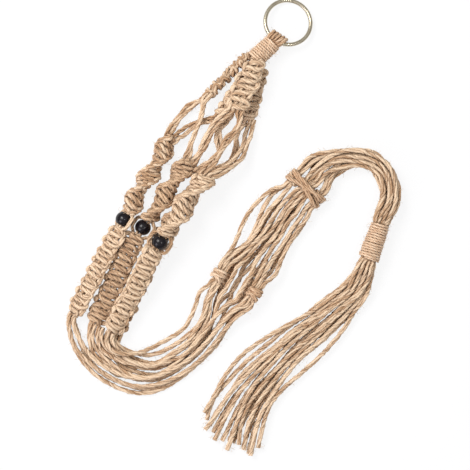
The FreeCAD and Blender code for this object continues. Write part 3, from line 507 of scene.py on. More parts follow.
# ---- ropes
class GeometryTree(Graph):
    """A Geometry Nodes tree with named inputs."""

    def __init__(self, name: str, inputs: dict[str, str]) -> None:
        """Start a tree.

        Args:
            name: the tree's name.
            inputs: input name to socket type.
        """
        super().__init__(bpy.data.node_groups.new(name, "GeometryNodeTree"))
        face = self.tree.interface
        face.new_socket("Geometry", in_out="INPUT", socket_type="NodeSocketGeometry")
        self.identifiers: dict[str, str] = {}
        for label, kind in inputs.items():
            socket = face.new_socket(label, in_out="INPUT", socket_type=f"NodeSocket{kind}")
            self.identifiers[label] = socket.identifier
        face.new_socket("Geometry", in_out="OUTPUT", socket_type="NodeSocketGeometry")
        self.entry = self.tree.nodes.new("NodeGroupInput")

    def given(self, label: str) -> Value:
        """One of the tree's inputs."""
        return Value(self, self.entry.outputs[label])

    def scaled(self, place: Value, size: Any) -> Value:
        """A vector times a number."""
        return self.node("ShaderNodeVectorMath", {"operation": "SCALE"}, {"Vector": place, "Scale": size})

    def finish(self, geometry: Value) -> None:
        """End the tree in Realize Instances and Set Material."""
        real = self.node("GeometryNodeRealizeInstances", {}, [geometry])
        dressed = self.node("GeometryNodeSetMaterial", {}, {
            "Geometry": real, "Material": self.given("Material")})
        last = self.tree.nodes.new("NodeGroupOutput")
        self.tree.links.new(dressed.socket, last.inputs[0])

    def apply(self, name: str, mesh: bpy.types.Mesh, values: dict[str, Any]) -> bpy.types.Object:
        """Run the tree on a mesh.

        Args:
            name: name of the piece.
            mesh: the mesh given to the tree; it is removed.
            values: input name to value.

        Returns:
            The finished piece, a plain mesh.
        """
        source = bpy.data.objects.new(name + "_source", mesh)
        bpy.context.scene.collection.objects.link(source)
        modifier = source.modifiers.new("tree", "NODES")
        modifier.node_group = self.tree
        for label, value in values.items():
            modifier[self.identifiers[label]] = value
        seen = source.evaluated_get(bpy.context.evaluated_depsgraph_get())
        made = bpy.data.meshes.new_from_object(seen)
        made.name = name
        source.modifiers.remove(modifier)
        bpy.data.objects.remove(source)
        bpy.data.meshes.remove(mesh)
        piece = bpy.data.objects.new(name, made)
        bpy.context.scene.collection.objects.link(piece)
        return piece


def line_mesh(lines: list[np.ndarray]) -> bpy.types.Mesh:
    """Mesh of edges that follows lines of points, in metres."""
    points: list[tuple] = []
    edges: list[tuple[int, int]] = []
    for line in lines:
        start = len(points)
        points.extend(map(tuple, line))
        edges.extend((start + k, start + k + 1) for k in range(len(line) - 1))
    mesh = bpy.data.meshes.new("lines")
    mesh.from_pydata(points, edges, [])
    return mesh


class RopeTree(GeometryTree):
    """Loose plies, softly twisted together, swept along every line of a mesh."""

    # thick and thin places, changes of the twist and lumps, for each metre
    SLUBS = 90
    TWISTS = 55
    LUMPS = 480.0
    # how far the twist strays in radians, and the size of a lump as a share of the radius
    TWIST_SWING = 7
    LUMP_SIZE = 0.4
    # the plies' outside and their uneven sizes, as shares of the radius
    OUTSIDE = 1.04
    PLY_SIZES = (0.8, 1.12)
    # set the noises of one cord apart from the next cord's
    SLUB_APART = 97
    TWIST_APART = 41

    def __init__(self) -> None:
        """Build the tree."""
        super().__init__("twisted_plies", {
            "Radius": "Float", "Plies": "Int", "Spread": "Float", "Lay": "Float", "Facets": "Int",
            "Unevenness": "Float", "Probe": "Float", "Neighbours": "Object", "Seed": "Int",
            "Material": "Material"})
        curve = self.node("GeometryNodeMeshToCurve", {}, [self.given("Geometry")])
        run = self.node("GeometryNodeSplineParameter", {}, out="Length")
        which = self.node("GeometryNodeCurveOfPoint", {}, out="Curve Index")
        tone = self.random(0.0, 1.0, which)
        slub = self.noise(self.vector(tone * self.SLUB_APART, 0.0, run * self.SLUBS))
        thickness = 1 + (slub - 0.5) * self.given("Unevenness") * 2
        curve = self.node("GeometryNodeSetCurveRadius", {}, {"Curve": curve, "Radius": thickness})
        twist = self.noise(self.vector(tone * self.TWIST_APART, 9.0, run * self.TWISTS))
        turn = run / self.given("Lay") * math.tau + tone * math.tau + twist * self.TWIST_SWING
        curve = self.node("GeometryNodeSetCurveTilt", {}, {"Curve": curve, "Tilt": turn})
        place = self.node("GeometryNodeInputPosition", {})
        curve = self.stored(curve, "along", "FLOAT", run)
        curve = self.stored(curve, "tone", "FLOAT", tone)
        curve = self.stored(curve, "spine", "FLOAT_VECTOR", place)
        rope = self.node("GeometryNodeCurveToMesh", {}, {
            "Curve": curve, "Profile Curve": self.plies(place), "Fill Caps": True})
        lump = self.noise(self.scaled(place, self.LUMPS)) - 0.5
        normal = self.node("GeometryNodeInputNormal", {})
        rope = self.node("GeometryNodeSetPosition", {}, {
            "Geometry": rope, "Offset": self.scaled(normal, lump * self.given("Radius") * self.LUMP_SIZE)})
        spine = self.node("GeometryNodeInputNamedAttribute", {"data_type": "FLOAT_VECTOR"}, ["spine"])
        spoke = self.join("SUBTRACT", place, spine)
        reach = self.node("ShaderNodeVectorMath", {"operation": "LENGTH"}, [spoke], out="Value")
        # crown: share of the radius, which the jute finish darkens below its furrow level as painted shade
        rope = self.stored(rope, "crown", "FLOAT", (reach / self.given("Radius")).clamped())
        # crowd: how closely other cords press round the surface, which the jute finish turns into painted
        # shade
        rope = self.stored(rope, "crowd", "FLOAT", self.crowding(place, spoke, reach))
        self.finish(self.node("GeometryNodeSetShadeSmooth", {}, [rope]))

    def plies(self, place: Value) -> Value:
        """Section of the cord: plies of uneven size round its middle.

        Args:
            place: position of the section's points.

        Returns:
            The section's curves.
        """
        index = self.node("GeometryNodeInputIndex", {})
        hub = self.node("GeometryNodeCurvePrimitiveCircle", {"mode": "RADIUS"}, {
            "Resolution": self.given("Plies"), "Radius": self.given("Spread")})
        hub = self.stored(hub, "ply", "FLOAT", self.random(0.0, 1.0, index))
        ring = self.node("GeometryNodeCurvePrimitiveCircle", {"mode": "RADIUS"}, {
            "Resolution": self.given("Facets"), "Radius": self.OUTSIDE - self.given("Spread")})
        size = self.random(*self.PLY_SIZES, index)
        plies = self.node("GeometryNodeInstanceOnPoints", {}, {
            "Points": hub, "Instance": ring, "Scale": self.vector(size, size, size)})
        plies = self.node("GeometryNodeRealizeInstances", {}, [plies])
        plies = self.stored(plies, "section", "FLOAT_VECTOR", place)
        return self.node("GeometryNodeSetPosition", {}, {
            "Geometry": plies, "Position": self.scaled(place, self.given("Radius"))})

    def crowding(self, place: Value, spoke: Value, reach: Value) -> Value:
        """How much other cords press round a point of the surface.

        Args:
            place: the point.
            spoke: from its cord's centre line to the point.
            reach: the spoke's length.

        Returns:
            0 in the open, 1 between cords.
        """
        lines = self.node("GeometryNodeObjectInfo", {}, [self.given("Neighbours")], out="Geometry")
        outward_way = self.node("ShaderNodeVectorMath", {"operation": "NORMALIZE"}, [spoke])
        probe = self.join("ADD", place, self.scaled(outward_way, self.given("Probe")))
        away = self.node("GeometryNodeProximity", {"target_element": "EDGES"}, {
            "Geometry": lines, "Sample Position": probe}, out="Distance")
        return ((reach + self.given("Probe") - away) / self.given("Radius")).clamped()

    def random(self, low: float, high: float, identity: Value) -> Value:
        """Random number of an identity."""
        return self.node("FunctionNodeRandomValue", {"data_type": "FLOAT"}, {
            "Min": low, "Max": high, "ID": identity, "Seed": self.given("Seed")})

    def join(self, operation: str, first: Value, second: Value) -> Value:
        """Vector sum or difference."""
        return self.node("ShaderNodeVectorMath", {"operation": operation}, [first, second])

    def stored(self, geometry: Value, name: str, kind: str, value: Value) -> Value:
        """Keep a value on the points under a name."""
        return self.node("GeometryNodeStoreNamedAttribute", {"data_type": kind, "domain": "POINT"}, {
            "Geometry": geometry, "Name": name, "Value": value})


class FibreTree(GeometryTree):
    """Fine hairs that stand off every line of a mesh."""

    # size of the shortest hair and how much longer the few longest are
    SHORTEST = 0.45
    LONGER = 1.9
    # how far a hair strays from its even place, and how far it leans, in radians
    STRAY = 0.5
    LEAN = 0.5
    TAPER = 0.75
    # height in metres that hairs keep over the surface
    CLEARANCE = 0.0001
    SALT_STEP = 17

    def __init__(self) -> None:
        """Build the tree."""
        super().__init__("loose_fibres", {
            "Spacing": "Float", "Root": "Float", "Length": "Float", "Thickness": "Float", "Seed": "Int",
            "Material": "Material"})
        curve = self.node("GeometryNodeMeshToCurve", {}, [self.given("Geometry")])
        curve = self.node("GeometryNodeResampleCurve", {"mode": "LENGTH"}, {
            "Curve": curve, "Length": self.given("Spacing")})
        to_points = self.tree.nodes.new("GeometryNodeCurveToPoints")
        to_points.mode = "EVALUATED"
        self.connect(to_points, 0, curve)
        points, tangent, rotation = (
            Value(self, to_points.outputs[name]) for name in ("Points", "Tangent", "Rotation"))
        jitter = self.random(-self.STRAY, self.STRAY, 1) * self.given("Spacing")
        points = self.node("GeometryNodeSetPosition", {}, {
            "Geometry": points, "Offset": self.scaled(tangent, jitter)})
        rotation = self.turned(rotation, (0.0, 0.0, 1.0), self.random(0.0, math.tau, 2))
        rotation = self.turned(rotation, (1.0, 0.0, 0.0), self.random(0.0, math.tau, 3))
        rotation = self.turned(rotation, (0.0, 1.0, 0.0), self.random(-self.LEAN, self.LEAN, 4))
        grown = self.SHORTEST + self.random(0.0, 1.0, 5) ** 3 * self.LONGER
        made = self.node("GeometryNodeInstanceOnPoints", {}, {
            "Points": points, "Instance": self.hair(), "Rotation": rotation,
            "Scale": self.vector(grown, grown, grown)})
        made = self.node("GeometryNodeRealizeInstances", {}, [made])
        place = self.node("ShaderNodeSeparateXYZ", {}, [self.node("GeometryNodeInputPosition", {})], out="Z")
        sunk = (self.CLEARANCE - place).maths("MAXIMUM", 0.0)
        self.finish(self.node("GeometryNodeSetPosition", {}, {
            "Geometry": made, "Offset": self.vector(0.0, 0.0, sunk)}))

    def hair(self) -> Value:
        """One hair: a bowed curve from inside the cord, tapering to its tip.

        Returns:
            The hair's mesh.
        """
        root = self.given("Root")
        reach = self.given("Length")
        hair = self.node("GeometryNodeCurveQuadraticBezier", {}, {
            "Resolution": 3, "Start": self.vector(root * 0.6, 0.0, 0.0),
            "Middle": self.vector(root + reach * 0.5, 0.0, 0.0),
            "End": self.vector(root + reach * 0.45, 0.0, reach * 0.9)})
        taper = 1 - self.node("GeometryNodeSplineParameter", {}, out="Factor") * self.TAPER
        hair = self.node("GeometryNodeSetCurveRadius", {}, {"Curve": hair, "Radius": taper})
        ring = self.node("GeometryNodeCurvePrimitiveCircle", {"mode": "RADIUS"}, {
            "Resolution": 3, "Radius": self.given("Thickness")})
        return self.node("GeometryNodeCurveToMesh", {}, {
            "Curve": hair, "Profile Curve": ring, "Fill Caps": True})

    def random(self, low: float, high: float, salt: int) -> Value:
        """Random number with a fixed seed."""
        return self.node("FunctionNodeRandomValue", {"data_type": "FLOAT"}, {
            "Min": low, "Max": high, "Seed": self.given("Seed") + salt * self.SALT_STEP})

    def turned(self, rotation: Value, axis: tuple, angle: Value) -> Value:
        """A rotation turned about one of its own axes."""
        turn = self.node("FunctionNodeAxisAngleToRotation", {}, {"Axis": axis, "Angle": angle})
        return self.node("FunctionNodeRotateRotation", {"rotation_space": "LOCAL"}, [rotation, turn])


@dataclass(frozen=True)
class Yarn:
    """A kind of cord.

    The lay is the length in which its plies go once round, the spread is their distance from its
    middle as a share of the radius, and the facets are the faces round a ply.
    """

    finish: bpy.types.Material
    slot: Slot
    radius: float = CORD / 2
    lay: float = 34.0
    plies: int = 3
    spread: float = 0.46
    facets: int = 6
    unevenness: float = 0.2


@dataclass
class Rope:
    """A piece made of one or more lines of the same cord, in metres.

    Radius 0 is the yarn's own. Only a free cord has a far end. A group shares its loose fibres.
    """

    name: str
    lines: list[np.ndarray]
    nodes: tuple[str, ...]
    radius: float = 0.0
    far_end: FarEnd | None = None
    group: str = "knots"


@dataclass(frozen=True)
class Hairs:
    """How loose fibres stand off a cord: their spacing, length and radius."""

    spacing: float
    length: float
    thickness: float
    root: float = 0.8


COAT = Hairs(0.9, 1.8, 0.052)
FRAY = Hairs(0.16, 2.4, 0.06)
FRAYED_POINTS = 5


class Loom:
    """Spins every rope at once, so that each knows where its neighbours press on it, for the painted shade
    between cords.
    """

    PROBE = 1.5
    SEED_STEP = 7
    COAT_SEED = 5
    FRAY_SEED = 77

    def __init__(self, hairs: bpy.types.Material) -> None:
        """Take the loose fibres' finish."""
        self.ropes: list[tuple[Rope, Yarn]] = []
        self.hairs = hairs

    def take(self, yarn: Yarn, *ropes: Rope) -> None:
        """Put ropes on the loom."""
        self.ropes.extend((rope, yarn) for rope in ropes)

    def weave(self) -> None:
        """Make every piece and the loose fibres that stand off them."""
        every_line = [line for rope, _ in self.ropes for line in rope.lines]
        neighbours = bpy.data.objects.new("neighbours", line_mesh(every_line))
        bpy.context.scene.collection.objects.link(neighbours)
        spinner = RopeTree()
        for number, (rope, yarn) in enumerate(self.ropes, start=1):
            self.spin(spinner, rope, yarn, number * self.SEED_STEP, neighbours)
        bpy.data.meshes.remove(neighbours.data)
        self.add_fibres()

    def spin(self, spinner: RopeTree, rope: Rope, yarn: Yarn, seed: int,
             neighbours: bpy.types.Object) -> None:
        """Make one rope's piece.

        Args:
            spinner: the tree that sweeps the plies.
            rope: the rope, whose lines are kept from sinking into the surface.
            yarn: what it is spun from.
            seed: picks its small unevenness.
            neighbours: every rope's centre line.
        """
        radius = (rope.radius or yarn.radius) * MM
        for line in rope.lines:
            line[:, 2] = np.maximum(line[:, 2], radius)
        piece = spinner.apply(rope.name, line_mesh(rope.lines), {
            "Radius": radius, "Plies": yarn.plies, "Spread": yarn.spread,
            "Lay": yarn.lay * MM, "Facets": yarn.facets, "Unevenness": yarn.unevenness,
            "Probe": self.PROBE * MM, "Neighbours": neighbours, "Seed": seed, "Material": yarn.finish})
        fit(piece, PLANTER, yarn.slot, *rope.nodes)
        if rope.far_end:
            line = rope.lines[0]

    def add_fibres(self) -> None:
        """Stand loose fibres off every rope, one piece for each group, and more off the cut ends."""
        tree = FibreTree()
        groups: dict[str, list[tuple[Rope, Yarn]]] = {}
        for rope, yarn in self.ropes:
            groups.setdefault(rope.group, []).append((rope, yarn))
        for number, (group, members) in enumerate(groups.items()):
            lines = [line for rope, _ in members for line in rope.lines]
            self.add_hairs(tree, f"{group}_fibres", lines, members[0][1], COAT, self.COAT_SEED + number)
        cut_ends = [rope.lines[0][-FRAYED_POINTS:] for rope, _ in self.ropes if rope.far_end is FarEnd.BARE]
        self.add_hairs(tree, "cut_end_fibres", cut_ends, self.ropes[0][1], FRAY, self.FRAY_SEED)

    def add_hairs(self, tree: FibreTree, name: str, lines: list[np.ndarray], yarn: Yarn, hairs: Hairs,
                  seed: int) -> None:
        """Make one piece of loose fibres.

        Args:
            tree: grows the fibres.
            name: the piece's name.
            lines: what they stand off.
            yarn: the cord that they come from.
            hairs: their sizes.
            seed: picks how each one stands.
        """
        piece = tree.apply(name, line_mesh(lines), {
            "Spacing": hairs.spacing * MM, "Root": yarn.radius * hairs.root * MM, "Length": hairs.length * MM,
            "Thickness": hairs.thickness * MM, "Seed": seed, "Material": self.hairs})
        fit(piece, PLANTER, yarn.slot)


def fit(piece: bpy.types.Object, body: str, slot: Slot, *nodes: str) -> bpy.types.Object:
    """Fix a piece to its body and hide the CAD nodes that it stands for.

    Args:
        piece: the piece.
        body: the body that it rides on.
        slot: not used.
        nodes: the CAD nodes that it stands for.

    Returns:
        The piece.
    """
    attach(piece, body)
    if nodes:
        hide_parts(*nodes)
    log.info("%s: %d faces", piece.name, len(piece.data.polygons))
    return piece


# ---- knotted sennits
@dataclass
class Sennit:
    """Four-cord sennit of square knots: two fillers run straight and two workers lock round them.

    The half width and the half depth are from its axis to the middle of a worker, at the edge and
    over the fillers. It begins earlier by the lead, each half knot is a pitch long, the upper worker
    goes out to a share of the half width, and the bars lean by the skew. The roll is in degrees.
    """

    node: str
    start: np.ndarray
    end: np.ndarray
    half_width: float
    seed: int
    roll: float = 0.0
    lead: float = 0.0
    half_depth: float = 2.6
    pitch: float = 5.7
    radius: float = 2.4
    over_reach: float = 0.86
    skew: float = 0.0
    rough: float = 1.3
    group: str = "sennits"

    # heights of the upper and the lower worker at the edges, and how long they stay there
    OVER_EDGE = -0.9
    UNDER_EDGE = 2.0
    OVER_STRETCH = 0.9
    UNDER_STRETCH = 1.5
    # how square the bars are: the least is a box, 1 a wave
    EDGE_SHARPNESS = 2.4
    BAR_SQUARENESS = 0.6
    POINTS_OF_KNOT = 18
    # the fillers' distance from the axis, how far they stand out and their points
    FILLER_AWAY = 2.6
    FILLER_OUT = 0.4
    FILLER_POINTS = 24
    # how much the roughness moves a worker, and what sets these noises apart
    STRAY_ACROSS = 0.1
    STRAY_ABOVE = 0.3
    STRAY_ALONG = 0.8
    STRAY_LEAN = 0.12
    ALONG_SALT = 5
    LEAN_SALT = 7
    ABOVE_SALT = 9
    SEED_STEP = 31
    # what is left of the workers' distance at both ends, and in how many half knots it is reached
    TUCKED = 0.3
    TUCK_KNOTS = 0.6

    def __post_init__(self) -> None:
        """Work out the frame and the number of half knots."""
        first = self.start - unit(self.end - self.start) * self.lead
        axis = self.end - first
        self.length = float(np.linalg.norm(axis))
        self.half_knots = round(self.length / self.pitch)
        self.pitch = self.length / self.half_knots
        self.stand = Stand(first, axis, self.roll)

    def steps(self) -> np.ndarray:
        """Half knots tied, as a fine series."""
        return np.linspace(0.0, self.half_knots, self.half_knots * self.POINTS_OF_KNOT + 1)

    def slack(self, steps: np.ndarray, salt: int) -> np.ndarray:
        """Small unevenness of a hand-tied cord, different at every half knot.

        Args:
            steps: half knots tied.
            salt: sets this noise apart from the sennit's others.

        Returns:
            The unevenness at each step.
        """
        noise = np.random.default_rng(self.seed * self.SEED_STEP + salt)
        knots = np.arange(-1, self.half_knots * 2 + 3) / 2
        values = noise.uniform(-self.rough, self.rough, len(knots))
        return np.interp(steps, knots, values)

    def tuck(self, steps: np.ndarray) -> np.ndarray:
        """How far the workers stand off the axis: drawn in where they come from or go on inside."""
        grown = np.clip(np.minimum(steps, self.half_knots - steps) / self.TUCK_KNOTS, 0.0, 1.0)
        return self.TUCKED + (1 - self.TUCKED) * grown

    def workers(self) -> list[np.ndarray]:
        """The two cords tied round the fillers, one always over them and one always under.

        Returns:
            Their lines in the layout.
        """
        steps = self.steps()
        turn = math.pi * steps
        side = np.cos(turn)
        edge = np.abs(side) ** self.EDGE_SHARPNESS
        bar = (1 - edge) ** self.BAR_SQUARENESS
        bow = np.abs(side) ** self.BAR_SQUARENESS
        lines = []
        for salt, (sign, reach, level, edge_level, stretch) in enumerate((
                (-1, self.over_reach, self.half_depth, self.OVER_EDGE, self.OVER_STRETCH),
                (1, 1.0, -self.half_depth, self.UNDER_EDGE, self.UNDER_STRETCH))):
            stray = 1 + self.STRAY_ACROSS * self.slack(steps, salt)
            across = sign * self.half_width * reach * np.sign(side) * bow * stray
            above = level * bar + edge_level * edge
            above = above + self.STRAY_ABOVE * self.slack(steps, salt + self.ABOVE_SALT)
            run = self.pitch * (steps + stretch * np.sin(2 * turn) / math.tau)
            run = run + self.STRAY_ALONG * self.slack(steps, salt + self.ALONG_SALT)
            run = run + across * (self.skew + self.STRAY_LEAN * self.slack(steps, salt + self.LEAN_SALT))
            lines.append(self.stand.at(across * self.tuck(steps), run, above * self.tuck(steps)))
        return lines

    def fillers(self) -> list[np.ndarray]:
        """The two straight cords."""
        run = np.linspace(-self.FILLER_OUT, self.length + self.FILLER_OUT, self.FILLER_POINTS)
        return [self.stand.at(away, run, 0.0) for away in (-self.FILLER_AWAY, self.FILLER_AWAY)]

    def ropes(self) -> list[Rope]:
        """The sennit's piece."""
        lines = [softened(line) for line in self.workers() + self.fillers()]
        return [Rope(f"{self.node}_ropes", lines, (self.node,), self.radius, group=self.group)]


def softened(line: np.ndarray, step: float = 1.0) -> np.ndarray:
    """A line with its corners eased.

    Args:
        line: points of the layout.
        step: spacing of the points returned, in millimetres.

    Returns:
        Points of the model, in metres.
    """
    fine = evenly(line, step)
    for _ in range(2):
        fine[1:-1] = (fine[:-2] + 2 * fine[1:-1] + fine[2:]) / 4
    return metres(fine)


@dataclass
class Spiral(Sennit):
    """Half-knot sennit, which turns on itself as it is tied, by so many degrees each half knot."""

    half_depth: float = 3.8
    pitch: float = 5.9
    radius: float = 2.8
    group: str = "spirals"
    twist: float = 36.0
    last_roll: float = 25.0

    # how much it swells as it turns, how long the workers stay at the edges and how far bars slant
    BULGE = 0.1
    STRETCH = 1.9
    SLANT = 0.32
    SQUARENESS = 0.38
    # the lock's height, a wave and the wave of three times its rate, which drops the edges
    LOCK = 0.3
    LOCK_DROP = 0.7
    STRAY_ACROSS = 0.08
    STRAY_ABOVE = 0.15
    STRAY_ALONG = 0.5

    def workers(self) -> list[np.ndarray]:
        """The two cords, each going round the fillers once in two half knots.

        Returns:
            Their lines in the layout.
        """
        steps = self.steps()
        roll = np.radians(self.last_roll - self.twist * (self.half_knots - 0.5 - steps))
        bulb = (1 + self.BULGE * np.cos(2 * roll)) * self.tuck(steps)
        lines = []
        for salt, offset in enumerate((0.0, math.pi)):
            turn = math.pi * steps + offset
            run = self.pitch * (steps + self.STRETCH * np.sin(2 * turn) / math.tau)
            run = run + self.STRAY_ALONG * self.slack(steps, salt + self.ALONG_SALT)
            side = np.cos(turn)
            bow = np.sign(side) * np.abs(side) ** self.SQUARENESS
            across = -self.half_width * bow * (1 + self.STRAY_ACROSS * self.slack(steps, salt))
            lock = self.LOCK * np.sin(turn) - self.LOCK_DROP * np.sin(3 * turn)
            stray = self.STRAY_ABOVE * self.slack(steps, salt + self.ABOVE_SALT)
            above = self.half_depth * lock * (1 + stray)
            across, above = across * bulb, above * bulb
            turned_across = across * np.cos(roll) - above * np.sin(roll)
            turned_above = across * np.sin(roll) + above * np.cos(roll)
            lines.append(self.stand.at(turned_across, run + across * self.SLANT, turned_above))
        return lines


# ---- places shared with the solids
PITCH = 4.3
STRAND_RADIUS = 2.42
NET_RADIUS = 2.45
RISE_SHARE = 0.93
BEAD = 16.0
BEAD_FLAT = 0.5
BEAD_NECK = 18.4

RING_CENTRE = vector(53, 212.6, 0)
RING_BEARING = heading(235.4)
RING_RADIUS = 23.0
RING_WIRE = 2.0
RING_SAG = 1.3
RING_CLEARANCE = 0.3
AXIS_HEIGHT = 12.9
PIVOT_REACH = RING_RADIUS - RING_SAG
RING_TILT = math.asin((AXIS_HEIGHT - RING_WIRE - RING_CLEARANCE) / (PIVOT_REACH + RING_RADIUS))
SWING_POINT = RING_CENTRE + RING_BEARING * PIVOT_REACH * math.cos(RING_TILT) + UP * AXIS_HEIGHT
SWING_AXIS = left_of(RING_BEARING)
WRAP_HEADING = heading(223.4)
UPPER_WRAP_START = SWING_POINT + WRAP_HEADING * 5.0
UPPER_WRAP_LENGTH = 9 * TWINE
LOWER_WRAP_START = vector(145.3, 11.3, 13.2)
LOWER_WRAP_HEADING = heading(250.7)
LOWER_WRAP_LENGTH = 14 * TWINE
FLARE = 4.0


@dataclass
class TopSennit(Sennit):
    """A sennit below the upper whipping, tied roughly and beginning under its turns."""

    lead: float = 4.5
    radius: float = 2.7
    rough: float = 2.3


TOP_SENNITS = {sennit.node: sennit for sennit in (
    TopSennit("top_sennit_front", vector(19, 168.5, 21.5), vector(1, 125, 21.5), 9.6, 3,
              skew=-0.26, pitch=6.1),
    TopSennit("top_sennit_left", vector(10.6, 177.2, 10), vector(-27.4, 139.4, 10), 7.0, 4,
              roll=90, half_depth=3.6, pitch=5.6, over_reach=0.7),
    TopSennit("top_sennit_back_left", vector(20, 166, 12.9), vector(-13, 117, 12.9), 7.7, 5, skew=-0.1),
    TopSennit("top_sennit_back_right", vector(25.1, 161.8, 4.3), vector(12, 113, 4.3), 6.4, 6,
              skew=-0.2, radius=2.4),
)}


@dataclass(frozen=True)
class Leg:
    """One leg: a half-knot spiral from start to end, a bead, and a flat sennit down to the foot.

    Widths are half widths and turns are in degrees. The shift is how far the flat sennit lies beside
    its solid, in plan.
    """

    number: int
    start: np.ndarray
    end: np.ndarray
    foot: np.ndarray
    spiral_width: float
    twist: float
    last_roll: float
    flat_width: float
    flat_roll: float = 0.0
    shift: tuple[float, float] = (0.0, 0.0)
    cord_roll: float = 0.0
    # legs that lie low between and under the others take a darker copy of the jute: painted shade
    in_painted_shade: bool = False

    SPIRAL_SEED = 20
    FLAT_SEED = 30
    FLAT_RADIUS = 2.6

    def bead_centre(self) -> np.ndarray:
        """Middle of the bead."""
        return self.end + unit(self.end - self.start) * (BEAD / 2 + BEAD_FLAT)

    def flat_start(self) -> np.ndarray:
        """Start of the flat sennit, below the bead."""
        return self.end + unit(self.end - self.start) * (BEAD + 2 * BEAD_FLAT)

    def sennits(self) -> list[Rope]:
        """The pieces of the spiral and of the flat sennit.

        Returns:
            Both pieces.
        """
        aside = vector(*self.shift, 0)
        spiral = Spiral(f"leg_{self.number}_spiral", self.start, self.end, self.spiral_width,
                        self.number + self.SPIRAL_SEED, twist=self.twist, last_roll=self.last_roll)
        flat = Sennit(f"leg_{self.number}_flat", self.flat_start() + aside, self.foot + aside,
                      self.flat_width, self.number + self.FLAT_SEED, roll=self.flat_roll,
                      radius=self.FLAT_RADIUS)
        return spiral.ropes() + flat.ropes()


LEGS = {leg.number: leg for leg in (
    Leg(1, vector(-63, 98, 10.7), vector(-107, 23, 10.7), vector(-162, -78, 9.4),
        8.0, 35.4, 55.0, 8.7, flat_roll=28.0, shift=(1.2, -0.8), cord_roll=52.0),
    Leg(2, vector(-45, 75, 10.7), vector(-87.1, 14.5, 10.4), vector(-138, -90, 4.5),
        8.2, 34.0, 146.0, 9.6, shift=(-2.0, 1.2), cord_roll=12.0, in_painted_shade=True),
    Leg(3, vector(-29, 58, 30), vector(-69.5, -0.3, 29), vector(-123, -97, 13.4),
        8.9, 30.0, 145.0, 8.7, flat_roll=-14.0),
    Leg(4, vector(-31, 62, 10.7), vector(-69, 4, 10.4), vector(-119.6, -96.2, 4.4),
        8.0, 36.0, 25.0, 8.5, cord_roll=25.0, in_painted_shade=True),
)}

# how far each strand is drawn in from its plain route: across the neck of the bundle below the
# cradle knots, across the rise above them, and across the tassel at its top, middle and end
NECK_WAY = vector(-0.8, 0.6, 0)
NECK_DRAW = {
    Layer.TOP: (2.5, -3.0, 5.5, 0.5, 9.0, 5.0, 9.4, 7.5),
    Layer.BOTTOM: (0.0, 2.0, 0.0, 5.5, 3.5, 9.0, 6.5, 9.4),
}
NECK_LIFT = {"top_2": 2.0, "top_4": 2.4, "top_6": 2.8}
NECK_OF_POINT = (0.2, 0.6, 0.95, 1.0, 1.0, 0.8)
# strands that cross their neighbours at the bottom of the bend, and how far
BEND_SWAY = {"top_1": -5.5, "top_3": 5.0, "top_4": -4.5, "top_6": 6.0, "top_7": 3.0, "bottom_5": 4.0}
SWAY_WAY = vector(0.1, 1.0, 0.45)
SWAY_OF_POINT = (0.0, 0.0, 0.35, 0.9, 1.0, 0.6)
CRADLE_STRAY = {"top_3": -6.0, "top_4": 6.0, "bottom_3": -9.0, "bottom_4": 8.5}
RISE_WAY = vector(0.75, -0.66, 0)
RISE_FOOT_OF_LANE = (0.5, 1.5, 2.5, 4.5, -4.5, -2.0, 0.0, 6.0)
RISE_DRAW = {
    Layer.TOP: (0.0, 7.5, 3.5, 1.5, -3.6, -5.0, -5.6, -6.0),
    Layer.BOTTOM: (9.4, 6.0, 3.5, 2.0, -1.0, -2.5, -3.0, -4.5),
}
RISE_OF_POINT = ((0.8, 0.1), (0.0, 1.0), (0.0, 1.0), (0.0, 0.7), (0.0, 0.2))
TASSEL_WAY = vector(0.69, -0.72, 0)
TASSEL_TOP_OF_LANE = (0.0, 0.0, 1.5, 2.5, 3.5, 5.0, 7.0, 8.0)
TASSEL_DRAW = {
    Layer.TOP: (-5.0, -4.5, -0.5, 1.0, 0.0, 4.0, 8.0, 5.0),
    Layer.BOTTOM: (-6.0, -3.5, -0.5, 2.8, 2.5, 5.5, 8.8, 9.6),
}
TASSEL_END_OF_LANE = (-1.0, 1.0, -1.0, -1.0, 2.5, 2.0, 2.0, -1.0)
TASSEL_OF_POINT = ((0.9, 0.0, 0.0), (0.75, 0.25, 0.0), (0.5, 0.5, 0.0), (0.2, 0.8, 0.0), (0.0, 1.0, 0.0),
                   (0.0, 0.8, 0.2), (0.0, 0.4, 0.6), (0.0, 0.15, 0.85), (0.0, 0.0, 0.9), (0.0, 0.0, 0.6))
REACH_LIMIT = 9.8

